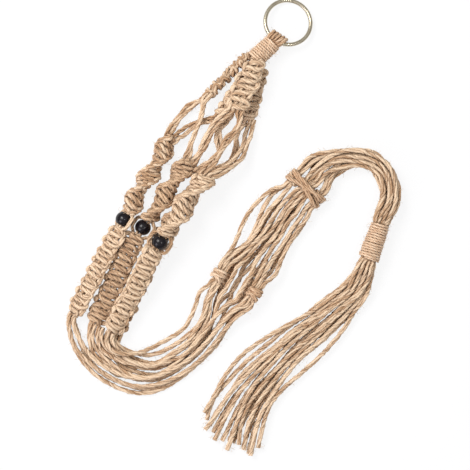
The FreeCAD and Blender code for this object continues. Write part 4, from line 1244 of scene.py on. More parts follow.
# the strands' routes in plan, from lane 0 on the inside of the bottom bend
BEND = {
    Layer.TOP: (
        ((-130, -108), (-124, -116.5), (-112, -119.5), (-97, -119), (-82, -113), (-65, -105), (-50, -95),
         (-41, -82), (-38, -68), (-35, -56)),
        ((-121.5, -107.5), (-116, -116), (-108, -122.5), (-97, -125), (-82, -126), (-66, -118), (-50, -108),
         (-36, -94), (-30, -78), (-28, -64)),
        ((-134.5, -103.5), (-129.5, -114), (-114.2, -125.5), (-98.5, -130), (-80, -131), (-63, -123),
         (-46, -112), (-32, -97), (-26, -82), (-23, -67)),
        ((-138.8, -104.5), (-133.3, -116.5), (-117.2, -128.7), (-100, -134.2), (-81, -136), (-62, -128),
         (-44, -116), (-29, -100), (-21, -85), (-18, -70)),
        ((-143.2, -105), (-137, -119), (-120, -132), (-101.5, -138.5), (-82, -141), (-61, -133),
         (-41, -120), (-25, -103), (-13, -86), (-2, -73)),
        ((-147.6, -105), (-140.8, -121.2), (-123, -135.3), (-103, -142.8), (-83, -146), (-60, -138),
         (-38.5, -124.5), (-22, -107), (-8.5, -89.5), (2, -76)),
        ((-158.5, -96), (-151, -113.5), (-136.5, -132.5), (-110, -147), (-84, -151), (-59, -143),
         (-36.5, -128.5), (-19, -110.5), (-5, -92.5), (6, -79)),
        ((-167, -94), (-160, -113), (-143.5, -134), (-113, -151.5), (-85, -156), (-57, -148), (-34, -132.5),
         (-16, -114), (-1, -95.5), (10, -82)),
    ),
    Layer.BOTTOM: (
        ((-120.5, -107.5), (-110, -115), (-96, -119.5), (-82, -119), (-64, -111), (-47, -100), (-34, -86),
         (-30, -72), (-27, -61)),
        ((-127, -108), (-119, -115.5), (-107, -121.5), (-97, -125), (-81, -131), (-63, -123), (-46, -111),
         (-31, -96), (-27, -81), (-24, -66)),
        ((-118, -111), (-118.5, -122), (-109.5, -131), (-96, -134.5), (-79, -136), (-61, -128), (-43, -115),
         (-28, -99), (-21, -84), (-19, -68)),
        ((-123, -110), (-124, -122.5), (-113, -134.5), (-98, -139), (-79, -141), (-59, -133), (-40, -119),
         (-25, -102), (-17, -86), (-15, -71)),
        ((-128.5, -108.5), (-130, -122.5), (-117, -138), (-100, -143.3), (-79, -146), (-57, -137),
         (-37, -123), (-21, -105), (-8.5, -87), (-7, -74)),
        ((-133.5, -107), (-136, -123), (-121.5, -141.5), (-102, -147.6), (-80, -151), (-55, -142),
         (-34, -126.5), (-17.5, -108.5), (-4.5, -90.5), (-3, -76)),
        ((-158, -97), (-151.5, -115), (-137, -136), (-111, -151.7), (-83, -155.5), (-55, -147), (-32, -131),
         (-15, -112), (-2, -94), (2, -79)),
        ((-166, -96), (-159.5, -117), (-143, -138.5), (-114, -156.5), (-83, -160), (-53, -151), (-29, -134),
         (-12, -115), (1, -97), (6, -81)),
    ),
}
# height of each point of a route, for one strand or for the edge or the middle of a layer
BEND_HEIGHTS = {
    "top_0": (16, 16, 15.4, 10.8, 7.4, 6.6, 6.6, 7.2, 9.0, 11.5),
    "top_1": (14.6, 11.8, 9.6, 7.2, 6.6, 6.6, 6.6, 7.2, 9.0, 11.5),
    "top_middle": (6.9, 6.7, 6.6, 6.6, 6.5, 6.5, 6.5, 7.4, 9.4, 12.0),
    "top_edge": (9.6, 7.6, 6.6, 6.5, 6.5, 6.5, 6.5, 7.4, 9.4, 12.0),
    "bottom_0": (10, 7.2, 4, 2.4, 2.2, 2.2, 2.4, 3.0, 4.0),
    "bottom_1": (9.8, 7.8, 4.9, 2.6, 2.2, 2.2, 2.2, 2.4, 3.0, 4.0),
    "bottom_middle": (2.7, 2.2, 2.2, 2.2, 2.2, 2.2, 2.2, 2.4, 3.0, 4.0),
    "bottom_edge": (5.2, 3.2, 2.3, 2.2, 2.2, 2.2, 2.2, 2.4, 3.0, 4.0),
}
RISE = {
    Layer.TOP: (
        ((-7, -16), (0, -3), (9, 14), (21, 32), (35, 45)),
        ((-2, -17), (10, -3), (19, 12), (28, 27), (40, 35)),
        ((3, -19), (16, -6), (27, 7), (37, 20), (47, 31)),
        ((8, -21), (22, -8), (33, 3), (43, 16), (52, 27)),
        ((24, -31), (33, -17), (42, -3), (50, 12), (56, 24)),
        ((29, -33), (39, -19), (48, -6), (55, 9), (60, 21)),
        ((34, -35), (45, -22), (54, -9), (61, 6), (66, 17)),
        ((38, -38), (50, -26), (60, -13), (67, 2), (71, 15)),
    ),
    Layer.BOTTOM: (
        ((-3, -16), (5, -4), (13, 11), (23, 29), (36, 42)),
        ((2, -18), (13, -5), (22, 9), (30, 23), (41, 33)),
        ((7, -21), (19, -8), (29, 5), (38, 19), (47, 31)),
        ((12, -23), (24, -11), (34, 1), (44, 15), (52, 27)),
        ((21, -28), (31, -16), (40, -3), (49, 12), (56, 24)),
        ((26, -31), (36, -19), (46, -6), (54, 8), (60, 21)),
        ((31, -33), (42, -22), (53, -9), (60, 5), (65, 16)),
        ((34, -36), (47, -25), (58, -13), (66, 1), (70, 13)),
    ),
}
RISE_HEIGHTS = {
    "top_edge": (11.8, 9.0, 8.4, 9.2, 10.6),
    "top_middle": (11.8, 9.2, 8.8, 10.4, 12.4),
    "bottom_edge": (3.6, 2.5, 2.5, 3.6, 5.6),
    "bottom_middle": (3.6, 2.4, 2.3, 2.8, 3.8),
}
# the arch's middle line: point, heading in degrees, height, and how far the bundle has folded
ARCH = (
    ((88, 64.5), 38, 0.0, 0.15),
    ((103, 74.5), 26, 0.0, 0.7),
    ((120, 78.5), 1, 0.0, 1.0),
    ((137, 75), -25, 0.0, 1.0),
    ((150, 63.5), -55, 0.5, 1.0),
    ((155.5, 47), -81, 1.6, 1.0),
    ((154, 30), -100, 3.6, 1.0),
)
ARCH_OUT = 4.0
TASSEL = {
    Layer.TOP: (
        ((132, -62), (121, -80), (109, -98), (95, -116), (80, -133), (63, -147), (48, -159), (35, -174),
         (26.5, -193), (22, -214)),
        ((127, -61), (115, -77), (101, -93), (86, -109), (70, -125), (54, -141), (40, -158), (27, -176),
         (19, -197), (15, -221)),
        ((122, -60), (109, -75), (95, -90), (79, -105), (63, -120), (48, -136), (33, -153), (21, -172),
         (13, -194), (9, -217)),
        ((118, -59), (104, -73), (89, -87), (73, -102), (57, -117), (41, -133), (27, -151), (14, -170),
         (7, -191), (3, -211)),
        ((113, -57), (98, -70), (82, -84), (65, -99), (49, -114), (33, -130), (18, -148), (6, -168),
         (-2, -190), (-8, -214)),
        ((108, -55), (93, -68), (76, -81), (59, -95), (42, -110), (26, -126), (11, -144), (-1, -164),
         (-11, -185), (-21, -204)),
        ((105, -53), (89, -65), (72, -78), (54, -91), (36, -105), (19, -121), (4, -139), (-8, -159),
         (-19, -179), (-29, -193)),
        ((101, -51), (85, -63), (67, -76), (49, -87), (29, -99), (11, -114), (-4, -131), (-15, -149),
         (-22, -167), (-29, -179)),
    ),
    Layer.BOTTOM: (
        ((129, -63), (117, -80), (103, -96), (88, -112), (72, -128), (56, -144), (41, -160), (28, -178),
         (19, -198), (13, -218)),
        ((124, -62), (111, -77), (97, -93), (81, -108), (65, -124), (49, -139), (34, -156), (22, -175),
         (13, -196), (7, -213)),
        ((119, -60), (106, -75), (91, -90), (75, -105), (59, -120), (43, -136), (29, -153), (16, -172),
         (7, -193), (0, -210)),
        ((115, -59), (100, -73), (85, -87), (69, -102), (53, -117), (37, -133), (23, -150), (10, -170),
         (0, -190), (-6, -208)),
        ((111, -57), (95, -70), (79, -84), (62, -99), (46, -114), (30, -130), (15, -148), (3, -167),
         (-8, -187), (-14, -206)),
        ((106, -55), (90, -68), (73, -81), (56, -95), (40, -110), (23, -126), (9, -144), (-4, -164),
         (-15, -183), (-21, -199)),
        ((102, -53), (86, -65), (69, -78), (51, -91), (34, -105), (17, -121), (3, -139), (-10, -159),
         (-20, -176), (-25, -190)),
        ((99, -50), (82, -62), (64, -74), (46, -87), (28, -101), (12, -116), (-2, -134), (-14, -153),
         (-24, -170), (-28, -184)),
    ),
}
TASSEL_HEIGHTS = {
    "top_edge": (9.3, 7.4, 6.6, *[6.5] * 7),
    "top_middle": (12.4, 9.2, 7.0, *[6.5] * 7),
    "bottom_edge": (5.2, 3.0, *[2.2] * 8),
    "bottom_middle": (2.2,) * 10,
}
FAN_MIDDLE = vector(127.2, -42.3, 0)
FAN_HEADING = heading(247)
FAN_SPREAD = 1.2
LEG_LEAD = 5.0
LEAD_IN = 6.0
MIDDLE_LANES = (2, 3, 4, 5)
CRADLE_HEADING = heading(60)
CRADLE_HALF = 9.0
GATHER_HEADING = heading(48)
GATHER_HALF = 8.0
GATHER_MIDDLE = vector(71, 47, 0)
LOWER_LAYER = 5.1
UPPER_LAYER = 15.4
BETWEEN_LAYERS = 10.25
GATHER_STEP = left_of(GATHER_HEADING) * 15.5
PILE_FOOT = CORD / 2 + 0.2
PILE_MIDDLE = PILE_FOOT + 1.5 * PITCH * RISE_SHARE


# ---- stations that the strands pass through
@dataclass
class Station:
    """A place that strands pass through, with half its length on each side of its middle.

    Each strand's name goes with how far it lies to the left and above.
    """

    middle: np.ndarray
    direction: np.ndarray
    half: float
    strands: dict[str, tuple[float, float]]

    def __post_init__(self) -> None:
        """Work out the station's directions."""
        self.stand = Stand(self.middle, self.direction)

    def place(self, strand: str, distance: float, squeeze: float = 1.0) -> np.ndarray:
        """Point on a strand so far past the middle, with its distance from the axis squeezed."""
        across, above = self.strands[strand]
        return self.stand.at(across * squeeze, distance, above * squeeze)


def row_of_four(layer: Layer, lanes: tuple[int, ...]) -> dict[str, tuple[float, float]]:
    """Four strands side by side."""
    return {f"{layer}_{lane}": ((1.5 - index) * PITCH, 0.0) for index, lane in enumerate(lanes)}


def two_by_two(lanes: tuple[int, int]) -> dict[str, tuple[float, float]]:
    """Two strands on two strands."""
    half = PITCH / 2
    return {f"{layer}_{lane}": (across, above) for lane, across in zip(lanes, (half, -half))
            for layer, above in ((Layer.TOP, half), (Layer.BOTTOM, -half))}


def leg_end(number: int, strands: dict[str, tuple[float, float]]) -> Station:
    """Station where the strands leave a leg's flat sennit."""
    leg = LEGS[number]
    return Station(leg.foot, leg.foot - leg.flat_start(), 0.0, strands)


def cradle_knot(x: float, y: float, height: float, layer: Layer, lanes: tuple[int, ...]) -> Station:
    """Station of a square knot of the first cradle row."""
    return Station(vector(x, y, height), CRADLE_HEADING, CRADLE_HALF, row_of_four(layer, lanes))


def gather_knot(aside: np.ndarray, height: float, strands: dict[str, tuple[float, float]]) -> Station:
    """Station of a knot of the second cradle row."""
    return Station(GATHER_MIDDLE + aside + UP * height, GATHER_HEADING, GATHER_HALF, strands)


LEG_ENDS = {
    1: leg_end(1, two_by_two((6, 7))),
    2: leg_end(2, row_of_four(Layer.TOP, MIDDLE_LANES)),
    3: leg_end(3, {"top_1": (PITCH / 2, PITCH / 2), "top_0": (-PITCH / 2, PITCH / 2),
                   "bottom_0": (PITCH / 2, -PITCH / 2), "bottom_1": (-PITCH / 2, -PITCH / 2)}),
    4: leg_end(4, row_of_four(Layer.BOTTOM, MIDDLE_LANES)),
}
CRADLE_KNOTS = {
    "cradle_knot_left": cradle_knot(-14, -41, UPPER_LAYER, Layer.TOP, (0, 1, 2, 3)),
    "cradle_knot_right": cradle_knot(17, -57, UPPER_LAYER, Layer.TOP, (4, 5, 6, 7)),
    "cradle_knot_under_left": cradle_knot(-10, -43, LOWER_LAYER, Layer.BOTTOM, (0, 1, 2, 3)),
    "cradle_knot_under_right": cradle_knot(12, -55, LOWER_LAYER, Layer.BOTTOM, (4, 5, 6, 7)),
}
GATHER_KNOTS = {
    "gather_knot_left": gather_knot(GATHER_STEP, BETWEEN_LAYERS, two_by_two((0, 1))),
    "gather_knot_middle": gather_knot(vector(0, 0, 0), UPPER_LAYER, row_of_four(Layer.TOP, MIDDLE_LANES)),
    "gather_knot_under": gather_knot(vector(0, 0, 0), LOWER_LAYER, row_of_four(Layer.BOTTOM, MIDDLE_LANES)),
    "gather_knot_right": gather_knot(-GATHER_STEP, BETWEEN_LAYERS, two_by_two((6, 7))),
}
# rows of the pile in which the strands run over the arch, from the surface up
PILE_ROWS = ((Layer.BOTTOM, "middle"), (Layer.BOTTOM, "edge"), (Layer.TOP, "edge"), (Layer.TOP, "middle"))
FIRST_EDGE_LANES = 2


def station_of(strand: str, stations: dict[Any, Station]) -> Station:
    """The station of a row that a strand passes through."""
    return next(station for station in stations.values() if strand in station.strands)


@dataclass
class Strand:
    """One of the sixteen long strands, from its leg's end to its cut end in the tassel.

    Lane 0 of a layer is on the inside of the bottom bend.
    """

    layer: Layer
    lane: int

    SEED = 40
    # how far a point may lie out of line: in the bend, and in the rise and the tassel
    BEND_WANDER = 1.7
    WANDER = 1.9
    # how far a point may lie above its height: on the other layer, and on the surface
    LIFT = (-0.3, 1.1)
    FLOOR_LIFT = (0.0, 0.5)
    # how far it strays in the arch, across and above
    ARCH_STRAY = (-2.4, 2.4)
    ARCH_LIFT = (-0.3, 1.8)
    # place in a knot, as a share of its half length; how far the knot squeezes it there; and the
    # share of its stray
    IN_THE_KNOT = ((-1.0, 0.92, 0.8), (-0.5, 0.66, 1.0), (0.5, 0.66, 1.0), (1.0, 0.92, 0.8))
    BESIDE_THE_KNOT = 0.4
    # how far the lower whipping squeezes it: at its mouths, past its end and along its turns
    MOUTH_SQUEEZE = 0.95
    PAST_SQUEEZE = 1.05
    WRAP_SQUEEZE = 0.66
    WRAP_SHARES = (0.05, 0.35, 0.65, 0.95)

    def __post_init__(self) -> None:
        """Work out the strand's name and its place in the pile."""
        self.name = f"{self.layer}_{self.lane}"
        middle = self.lane in MIDDLE_LANES
        self.group = "middle" if middle else "edge"
        row = PILE_ROWS.index((self.layer, self.group))
        before = 0 if self.lane < FIRST_EDGE_LANES else FIRST_EDGE_LANES if middle else len(MIDDLE_LANES)
        shift = PITCH / 4 if row % 2 == 0 else -PITCH / 4
        self.pile = ((1.5 - (self.lane - before)) * PITCH + shift, PILE_FOOT + row * PITCH * RISE_SHARE)
        self.noise = np.random.default_rng(self.lane * 2 + (self.layer is Layer.TOP) + self.SEED)

    def raised(self, plans: dict[Layer, tuple], heights: dict[str, tuple], drawn: list[np.ndarray],
               wander: float) -> list[np.ndarray]:
        """Points of a plan route at their heights, drawn in with the bundle and a little out of line.

        Args:
            plans: each layer's routes in plan.
            heights: their heights, for a strand of its own or for a group of a layer.
            drawn: how far each point is drawn in.
            wander: how far a point may lie out of line.

        Returns:
            The points.
        """
        levels = heights.get(self.name) or heights[f"{self.layer}_{self.group}"]
        points = []
        for (x, y), z, pull in zip(plans[self.layer][self.lane], levels, drawn):
            shift = pull + vector(*self.noise.uniform(-wander, wander, 2), 0.0)
            shift = shift * min(1.0, REACH_LIMIT / max(1e-6, float(np.linalg.norm(shift))))
            lift = self.noise.uniform(*(self.LIFT if z > CORD else self.FLOOR_LIFT))
            points.append(vector(x, y, z + lift) + shift)
        return points

    def neck(self) -> list[np.ndarray]:
        """How far the strand is drawn in at each point of the bend.

        Returns:
            A shift for each point.
        """
        before = [0.0] * (len(BEND[self.layer][self.lane]) - len(NECK_OF_POINT))
        drawn = NECK_WAY * NECK_DRAW[self.layer][self.lane] + UP * NECK_LIFT.get(self.name, 0.0)
        sway = BEND_SWAY.get(self.name, 0.0)
        aside = SWAY_WAY * vector(sway, sway, abs(sway))
        swayed = [*SWAY_OF_POINT, *[0.0] * len(NECK_OF_POINT)]
        return [drawn * share + aside * part for share, part in zip((*before, *NECK_OF_POINT), swayed)]

    def rise_clump(self) -> list[np.ndarray]:
        """How far the strand is drawn in at each point of the rise."""
        foot, middle = RISE_FOOT_OF_LANE[self.lane], RISE_DRAW[self.layer][self.lane]
        return [RISE_WAY * (foot * first + middle * second) for first, second in RISE_OF_POINT]

    def tassel_clump(self) -> list[np.ndarray]:
        """How far the strand is drawn in at each point of the tassel."""
        top, middle = TASSEL_TOP_OF_LANE[self.lane], TASSEL_DRAW[self.layer][self.lane]
        draws = (top, middle, TASSEL_END_OF_LANE[self.lane])
        return [TASSEL_WAY * float(np.dot(draws, shares)) for shares in TASSEL_OF_POINT]

    def over_the_arch(self) -> list[np.ndarray]:
        """Points over the arch, folding from the flat bundle into the pile.

        Returns:
            The points.
        """
        knot = station_of(self.name, GATHER_KNOTS)
        offset = knot.place(self.name, 0.0) - GATHER_MIDDLE
        flat = (float(offset @ knot.stand.left), float(offset[2]))
        points = []
        for (x, y), degrees, lift, fold in ARCH:
            across = flat[0] * (1 - fold) + self.pile[0] * fold + self.noise.uniform(*self.ARCH_STRAY)
            above = flat[1] * (1 - fold) + self.pile[1] * fold + lift + self.noise.uniform(*self.ARCH_LIFT)
            points.append(vector(x, y, above) + left_of(heading(degrees)) * (across + ARCH_OUT * (1 - fold)))
        return points

    def in_the_wrap(self, distance: float, squeeze: float) -> np.ndarray:
        """Point in the lower whipping.

        Args:
            distance: how far past its first turn.
            squeeze: share of the strand's place in the loose pile.

        Returns:
            The point.
        """
        across, above = self.pile
        line = LOWER_WRAP_START + LOWER_WRAP_HEADING * distance
        lift = (above - PILE_MIDDLE) * squeeze
        return line + left_of(LOWER_WRAP_HEADING) * (across * squeeze) + UP * lift

    def through_the_wrap(self) -> list[np.ndarray]:
        """Points before, in and after the lower whipping.

        Returns:
            The points.
        """
        end = LOWER_WRAP_LENGTH + FLARE
        held = [self.in_the_wrap(share * LOWER_WRAP_LENGTH, self.WRAP_SQUEEZE) for share in self.WRAP_SHARES]
        return [self.in_the_wrap(-FLARE - LEAD_IN, 1.0), self.in_the_wrap(-FLARE, self.MOUTH_SQUEEZE), *held,
                self.in_the_wrap(end, self.MOUTH_SQUEEZE),
                self.in_the_wrap(end + LEAD_IN, self.PAST_SQUEEZE)]

    def route(self) -> list[np.ndarray]:
        """The strand's whole route.

        Returns:
            Its points in the layout.
        """
        leg = station_of(self.name, LEG_ENDS)
        across, above = self.pile
        fan = FAN_MIDDLE + left_of(FAN_HEADING) * (across * FAN_SPREAD) + UP * above
        return [leg.place(self.name, 0.0), leg.place(self.name, LEG_LEAD),
                *self.raised(BEND, BEND_HEIGHTS, self.neck(), self.BEND_WANDER),
                *self.through(station_of(self.name, CRADLE_KNOTS), CRADLE_STRAY.get(self.name, 0.0)),
                *self.raised(RISE, RISE_HEIGHTS, self.rise_clump(), self.WANDER),
                *self.through(station_of(self.name, GATHER_KNOTS)),
                *self.over_the_arch(), *self.through_the_wrap(), fan,
                *self.raised(TASSEL, TASSEL_HEIGHTS, self.tassel_clump(), self.WANDER)]

    def through(self, knot: Station, stray: float = 0.0) -> list[np.ndarray]:
        """Points before, in and after a knot, which squeezes its strands.

        Args:
            knot: the knot's station.
            stray: how far to the left the strand passes, where the knot doesn't hold it.

        Returns:
            The points.
        """
        half = knot.half
        away = knot.stand.left * stray
        inside = [knot.place(self.name, half * share, squeeze) + away * part
                  for share, squeeze, part in self.IN_THE_KNOT]
        return [knot.place(self.name, -half - LEAD_IN) + away * self.BESIDE_THE_KNOT, *inside,
                knot.place(self.name, half + LEAD_IN) + away * self.BESIDE_THE_KNOT]

    def ropes(self) -> list[Rope]:
        """The strand's piece, a free cord with a cut end."""
        return [Rope(f"strand_rope_{self.name}", [smooth_route(self.route())], (f"strand_{self.name}",),
                     STRAND_RADIUS, FarEnd.BARE, f"{self.layer}_strands")]


# ---- net
@dataclass(frozen=True)
class NetPair:
    """Two cords side by side from a top sennit to a leg, through corners of their middle line.

    They leave the sennit so far across and above, and enter the leg so far to the left, in widths
    of the pair.
    """

    name: str
    sennit: str
    leaving: tuple[float, float]
    corners: tuple[tuple[float, float, float], ...]
    leg: int
    entering: float

    LEAD = 3.4
    # how far the pair runs inside the sennit and inside the leg
    INSIDE = 4.5
    INSIDE_LEG = 5.0
    # points at each end that lie where the knots hold them
    HELD = 3
    APART = (-0.2, 1.5)
    LIFT = (-0.8, 1.6)

    def centre(self) -> list[np.ndarray]:
        """Middle line of the pair.

        Returns:
            Its points in the layout.
        """
        sennit = TOP_SENNITS[f"top_sennit_{self.sennit}"]
        leg = LEGS[self.leg]
        spacing = 2 * PITCH
        down = unit(sennit.end - sennit.start)
        first = sennit.end + left_of(down) * (self.leaving[0] * spacing) + UP * (self.leaving[1] * spacing)
        into = unit(leg.end - leg.start)
        last = leg.start + left_of(into) * (self.entering * spacing)
        return [first - down * self.INSIDE, first, first + down * self.LEAD,
                *(vector(*corner) for corner in self.corners),
                last - into * (1.1 * self.LEAD), last,
                last + into * self.INSIDE_LEG - left_of(into) * (self.entering * PITCH)]

    def ropes(self) -> list[Rope]:
        """Both cords, drawn together and apart as they hang slack.

        Returns:
            A piece for each cord.
        """
        middle = self.centre()
        node = f"net_{self.name}"
        noise = np.random.default_rng(sum(map(ord, node)))
        apart = noise.uniform(*self.APART, len(middle))
        made = []
        for letter, away in (("a", -PITCH / 2), ("b", PITCH / 2)):
            route = []
            for index, point in enumerate(middle):
                travel = middle[min(index + 1, len(middle) - 1)] - middle[max(index - 1, 0)]
                travel = travel * vector(1, 1, 0)
                loose = self.HELD <= index < len(middle) - self.HELD
                lift = float(noise.uniform(*self.LIFT)) if loose else 0.0
                share = apart[index] if loose else 1.0
                route.append(point + left_of(travel) * (away * share) + UP * lift)
            made.append(Rope(f"net_rope_{self.name}_{letter}", [smooth_route(route, FINE_STEP)], (node,),
                             NET_RADIUS, FarEnd.OBJECT, "net"))
        return made


NET = (
    NetPair("left_to_leg_1", "left", (0, -0.55), (
        (-36, 134, 5), (-46, 129, 5), (-55, 119, 6), (-62, 109, 8)), 1, -0.5),
    NetPair("back_left_to_leg_1", "back_left", (-0.5, 0), (
        (-24, 115, 10.5), (-33.5, 113.5, 8.5), (-44, 109, 8), (-52, 102, 9)), 1, 0.5),
    NetPair("left_to_leg_2", "left", (0, 0.55), (
        (-31.5, 130.5, 15), (-33, 120, 16), (-37, 109, 16), (-41, 99, 13.5), (-45, 88, 11.5)), 2, -0.5),
    NetPair("front_to_leg_2", "front", (-0.5, 0), (
        (-11, 118, 21), (-20, 110, 19.5), (-26, 100, 17), (-31, 89, 14), (-36, 80, 11.8)), 2, 0.5),
    NetPair("front_to_leg_3", "front", (0.5, 0), (
        (5, 112, 21.5), (0, 102, 22), (-8, 94, 23.5), (-14, 84, 26), (-21, 73, 28.5)), 3, -0.5),
    NetPair("back_left_to_leg_4", "back_left", (0.5, 0), (
        (-17, 106, 11.5), (-17, 95, 10), (-14, 85, 9.5), (-19, 76, 10), (-26, 71, 10.7)), 4, -0.5),
    NetPair("back_right_to_leg_3", "back_right", (0.5, 0), (
        (13, 100, 7), (10, 89, 11), (6, 79, 15.5), (-3, 70, 21), (-14, 62, 27)), 3, 0.5),
    NetPair("back_right_to_leg_4", "back_right", (-0.5, 0), (
        (2, 104, 3.6), (1, 93, 3.6), (2, 83, 4.4), (-5, 73, 6.6), (-16, 65, 9)), 4, 0.5),
)


# ---- knots over the strands
@dataclass
class Lashing:
    """Loose knot over passing strands: slanted turns that cross each other on top.

    Each turn has its slant and its offset along the strands. The shift is how far the knot is tied
    to the left, and the piece is named where its name isn't the node's.
    """

    node: str
    station: Station
    half_width: float
    half_depth: float
    turns: tuple[tuple[float, float], ...]
    shift: float = 0.0
    radius: float = 1.9
    piece: str = ""

    POINTS = 40
    SQUARENESS = 0.8
    # how much wider every second turn is, and how far a turn strays in size and along the strands
    OUTER_TURN = 0.07
    SIZE_STRAY = 0.05
    ALONG_STRAY = 0.8
    # points that close a turn over its own start
    OVERLAP = 3

    def ropes(self) -> list[Rope]:
        """The knot's piece.

        Returns:
            One piece with all its turns.
        """
        noise = np.random.default_rng(sum(map(ord, self.node)))
        angle = np.linspace(0.0, math.tau, self.POINTS, endpoint=False)
        sideways = np.sign(np.cos(angle)) * np.abs(np.cos(angle)) ** self.SQUARENESS
        lines = []
        for number, (slant, offset) in enumerate(self.turns):
            size = 1 + self.OUTER_TURN * (number % 2) + noise.uniform(-self.SIZE_STRAY, self.SIZE_STRAY)
            stray = noise.uniform(-self.ALONG_STRAY, self.ALONG_STRAY)
            run = offset + slant * np.cos(angle) + stray * np.sin(2 * angle)
            loop = self.station.stand.at(self.half_width * size * sideways + self.shift, run,
                                         self.half_depth * size * np.sin(angle))
            lines.append(softened(np.concatenate((loop, loop[:self.OVERLAP]))))
        return [Rope(self.piece or f"{self.node}_ties", lines, (self.node,), self.radius)]


# ---- whippings and the eye
@dataclass
class Whipping:
    """Twine wound tightly round a bundle.

    The radius is to the middle of the twine. The swell is how much wider it ends than it begins.
    """

    name: str
    start: np.ndarray
    direction: np.ndarray
    turns: int
    radius: float
    swell: float
    nodes: tuple[str, ...]

    POINTS_OF_TURN = 44
    POINT_STEP = 0.8
    # the twine's ends: the share of a turn in which they go in, and how deep
    END_TURN = 0.35
    END_DEPTH = 2.4
    # ripples of the hand that wound it: their rates, and how far they move it along and outwards
    RATES = (1.7, 2.9, 4.3, 6.9)
    RIPPLE_ALONG = 0.3
    RIPPLE_OUT = 0.45

    def ropes(self) -> list[Rope]:
        """The winding's piece, wound wider towards its far end by the swell.

        Returns:
            One piece.
        """
        stand = Stand(self.start, self.direction)
        turn = np.linspace(-self.END_TURN, self.turns + self.END_TURN, (self.turns + 1) * self.POINTS_OF_TURN)
        phases = np.random.default_rng(self.turns).uniform(0, math.tau, len(self.RATES))
        waves = [np.sin(turn * rate + phase) for rate, phase in zip(self.RATES, phases)]
        ripple = sum(waves) / len(waves)
        run = np.clip(turn, 0.0, self.turns) * TWINE * (self.turns - 1) / self.turns
        run = run + TWINE / 2 + self.RIPPLE_ALONG * ripple
        tuck = np.clip(np.maximum(-turn, turn - self.turns) / self.END_TURN, 0.0, 1.0)
        radius = self.radius + self.swell * (turn / self.turns - 0.5)
        radius = radius + self.RIPPLE_OUT * ripple - self.END_DEPTH * tuck
        line = stand.at(radius * np.cos(turn * math.tau), run, radius * np.sin(turn * math.tau))
        return [Rope(f"{self.name}_turns", [metres(evenly(line, self.POINT_STEP))], self.nodes,
                     group="whippings")]


@dataclass
class RingEye:
    """Cords folded over the ring, side by side.

    Their widths are at the ring, at its mouth and inside the whipping. The reach is from the swing
    axis to the middle of a cord.
    """

    loops: int = 5
    width: float = 18.0
    mouth_width: float = 12.0
    tuck_width: float = 9.5
    reach: float = 5.75

    # every second loop lies a little wider and the others a little closer
    WIDER = 0.25
    CLOSER = -0.1
    # way along the whipping and height of the cords at the mouth and inside
    MOUTH = (5.6, 4.9)
    TUCK = (12, 3.0)
    # share of the ring's width that is left at the mouth
    FANNED = 0.35
    ARC = range(78, 283, 12)

    def ropes(self) -> list[Rope]:
        """The loops' piece.

        Returns:
            One piece with all the loops.
        """
        lines = []
        for index in range(self.loops):
            share = (index + 0.5) / self.loops - 0.5
            centre = SWING_POINT + SWING_AXIS * (share * (self.width - 0.4))
            reach = self.reach + (self.WIDER if index % 2 else self.CLOSER)
            tuck = SWING_POINT + WRAP_HEADING * self.TUCK[0] + SWING_AXIS * (share * self.tuck_width)
            between = SWING_POINT + SWING_AXIS * share * self.mouth_width
            mouth = centre * self.FANNED + between * (1 - self.FANNED) + WRAP_HEADING * self.MOUTH[0]
            arc = [centre + WRAP_HEADING * (reach * math.cos(angle)) + UP * (reach * math.sin(angle))
                   for angle in map(math.radians, self.ARC)]
            route = [tuck + UP * self.TUCK[1], mouth + UP * self.MOUTH[1], *arc,
                     mouth - UP * self.MOUTH[1], tuck - UP * self.TUCK[1]]
            lines.append(smooth_route(route, FINE_STEP))
        return [Rope("ring_eye_loops", lines, ("ring_eye",))]


@dataclass
class Crown:
    """Strands that leave the upper whipping and part into the four top sennits."""

    # where a sennit's four strands lie round its axis, and how much closer in the whipping
    PLACES = ((-2.1, -1.9), (2.1, -1.9), (-2.1, 1.9), (2.1, 1.9))
    SQUEEZE = 0.7
    # how far the whipping's strands lean towards their sennit
    LEAN_LIMIT = 4.3
    # points in the whipping: share of its length, further way along it, and how far they spread
    IN_THE_WRAP = ((0.0, 2.0, 1.0), (0.5, 0.0, 1.0), (1.0, -1.0, 1.05), (1.0, 3.0, 1.25))
    # points in the sennit: way along it, and how far they spread across and above
    IN_THE_SENNIT = ((-2.0, 1.3, 0.9), (2.5, 1.6, 0.6), (7.0, 1.3, 0.3))

    def ropes(self) -> list[Rope]:
        """The strands' piece.

        Returns:
            One piece with all the strands.
        """
        stand = Stand(UPPER_WRAP_START, WRAP_HEADING)
        lines = []
        for sennit in TOP_SENNITS.values():
            offset = sennit.start - (UPPER_WRAP_START + WRAP_HEADING * UPPER_WRAP_LENGTH)
            lean = vector(float(offset @ stand.left), float(offset @ stand.rise))
            lean = lean * min(1.0, self.LEAN_LIMIT / max(float(np.linalg.norm(lean)), 1e-6))
            down = Stand(sennit.start, sennit.end - sennit.start, sennit.roll)
            for across, above in self.PLACES:
                core_across, core_above = lean + vector(across, above) * self.SQUEEZE
                route = [stand.at(core_across * spread, UPPER_WRAP_LENGTH * share + run, core_above * spread)
                         for share, run, spread in self.IN_THE_WRAP]
                route += [down.at(across * out, run, above * up) for run, out, up in self.IN_THE_SENNIT]
                lines.append(smooth_route(route, FINE_STEP))
        return [Rope("upper_wrap_strand_ropes", lines, ("upper_wrap_strands",))]


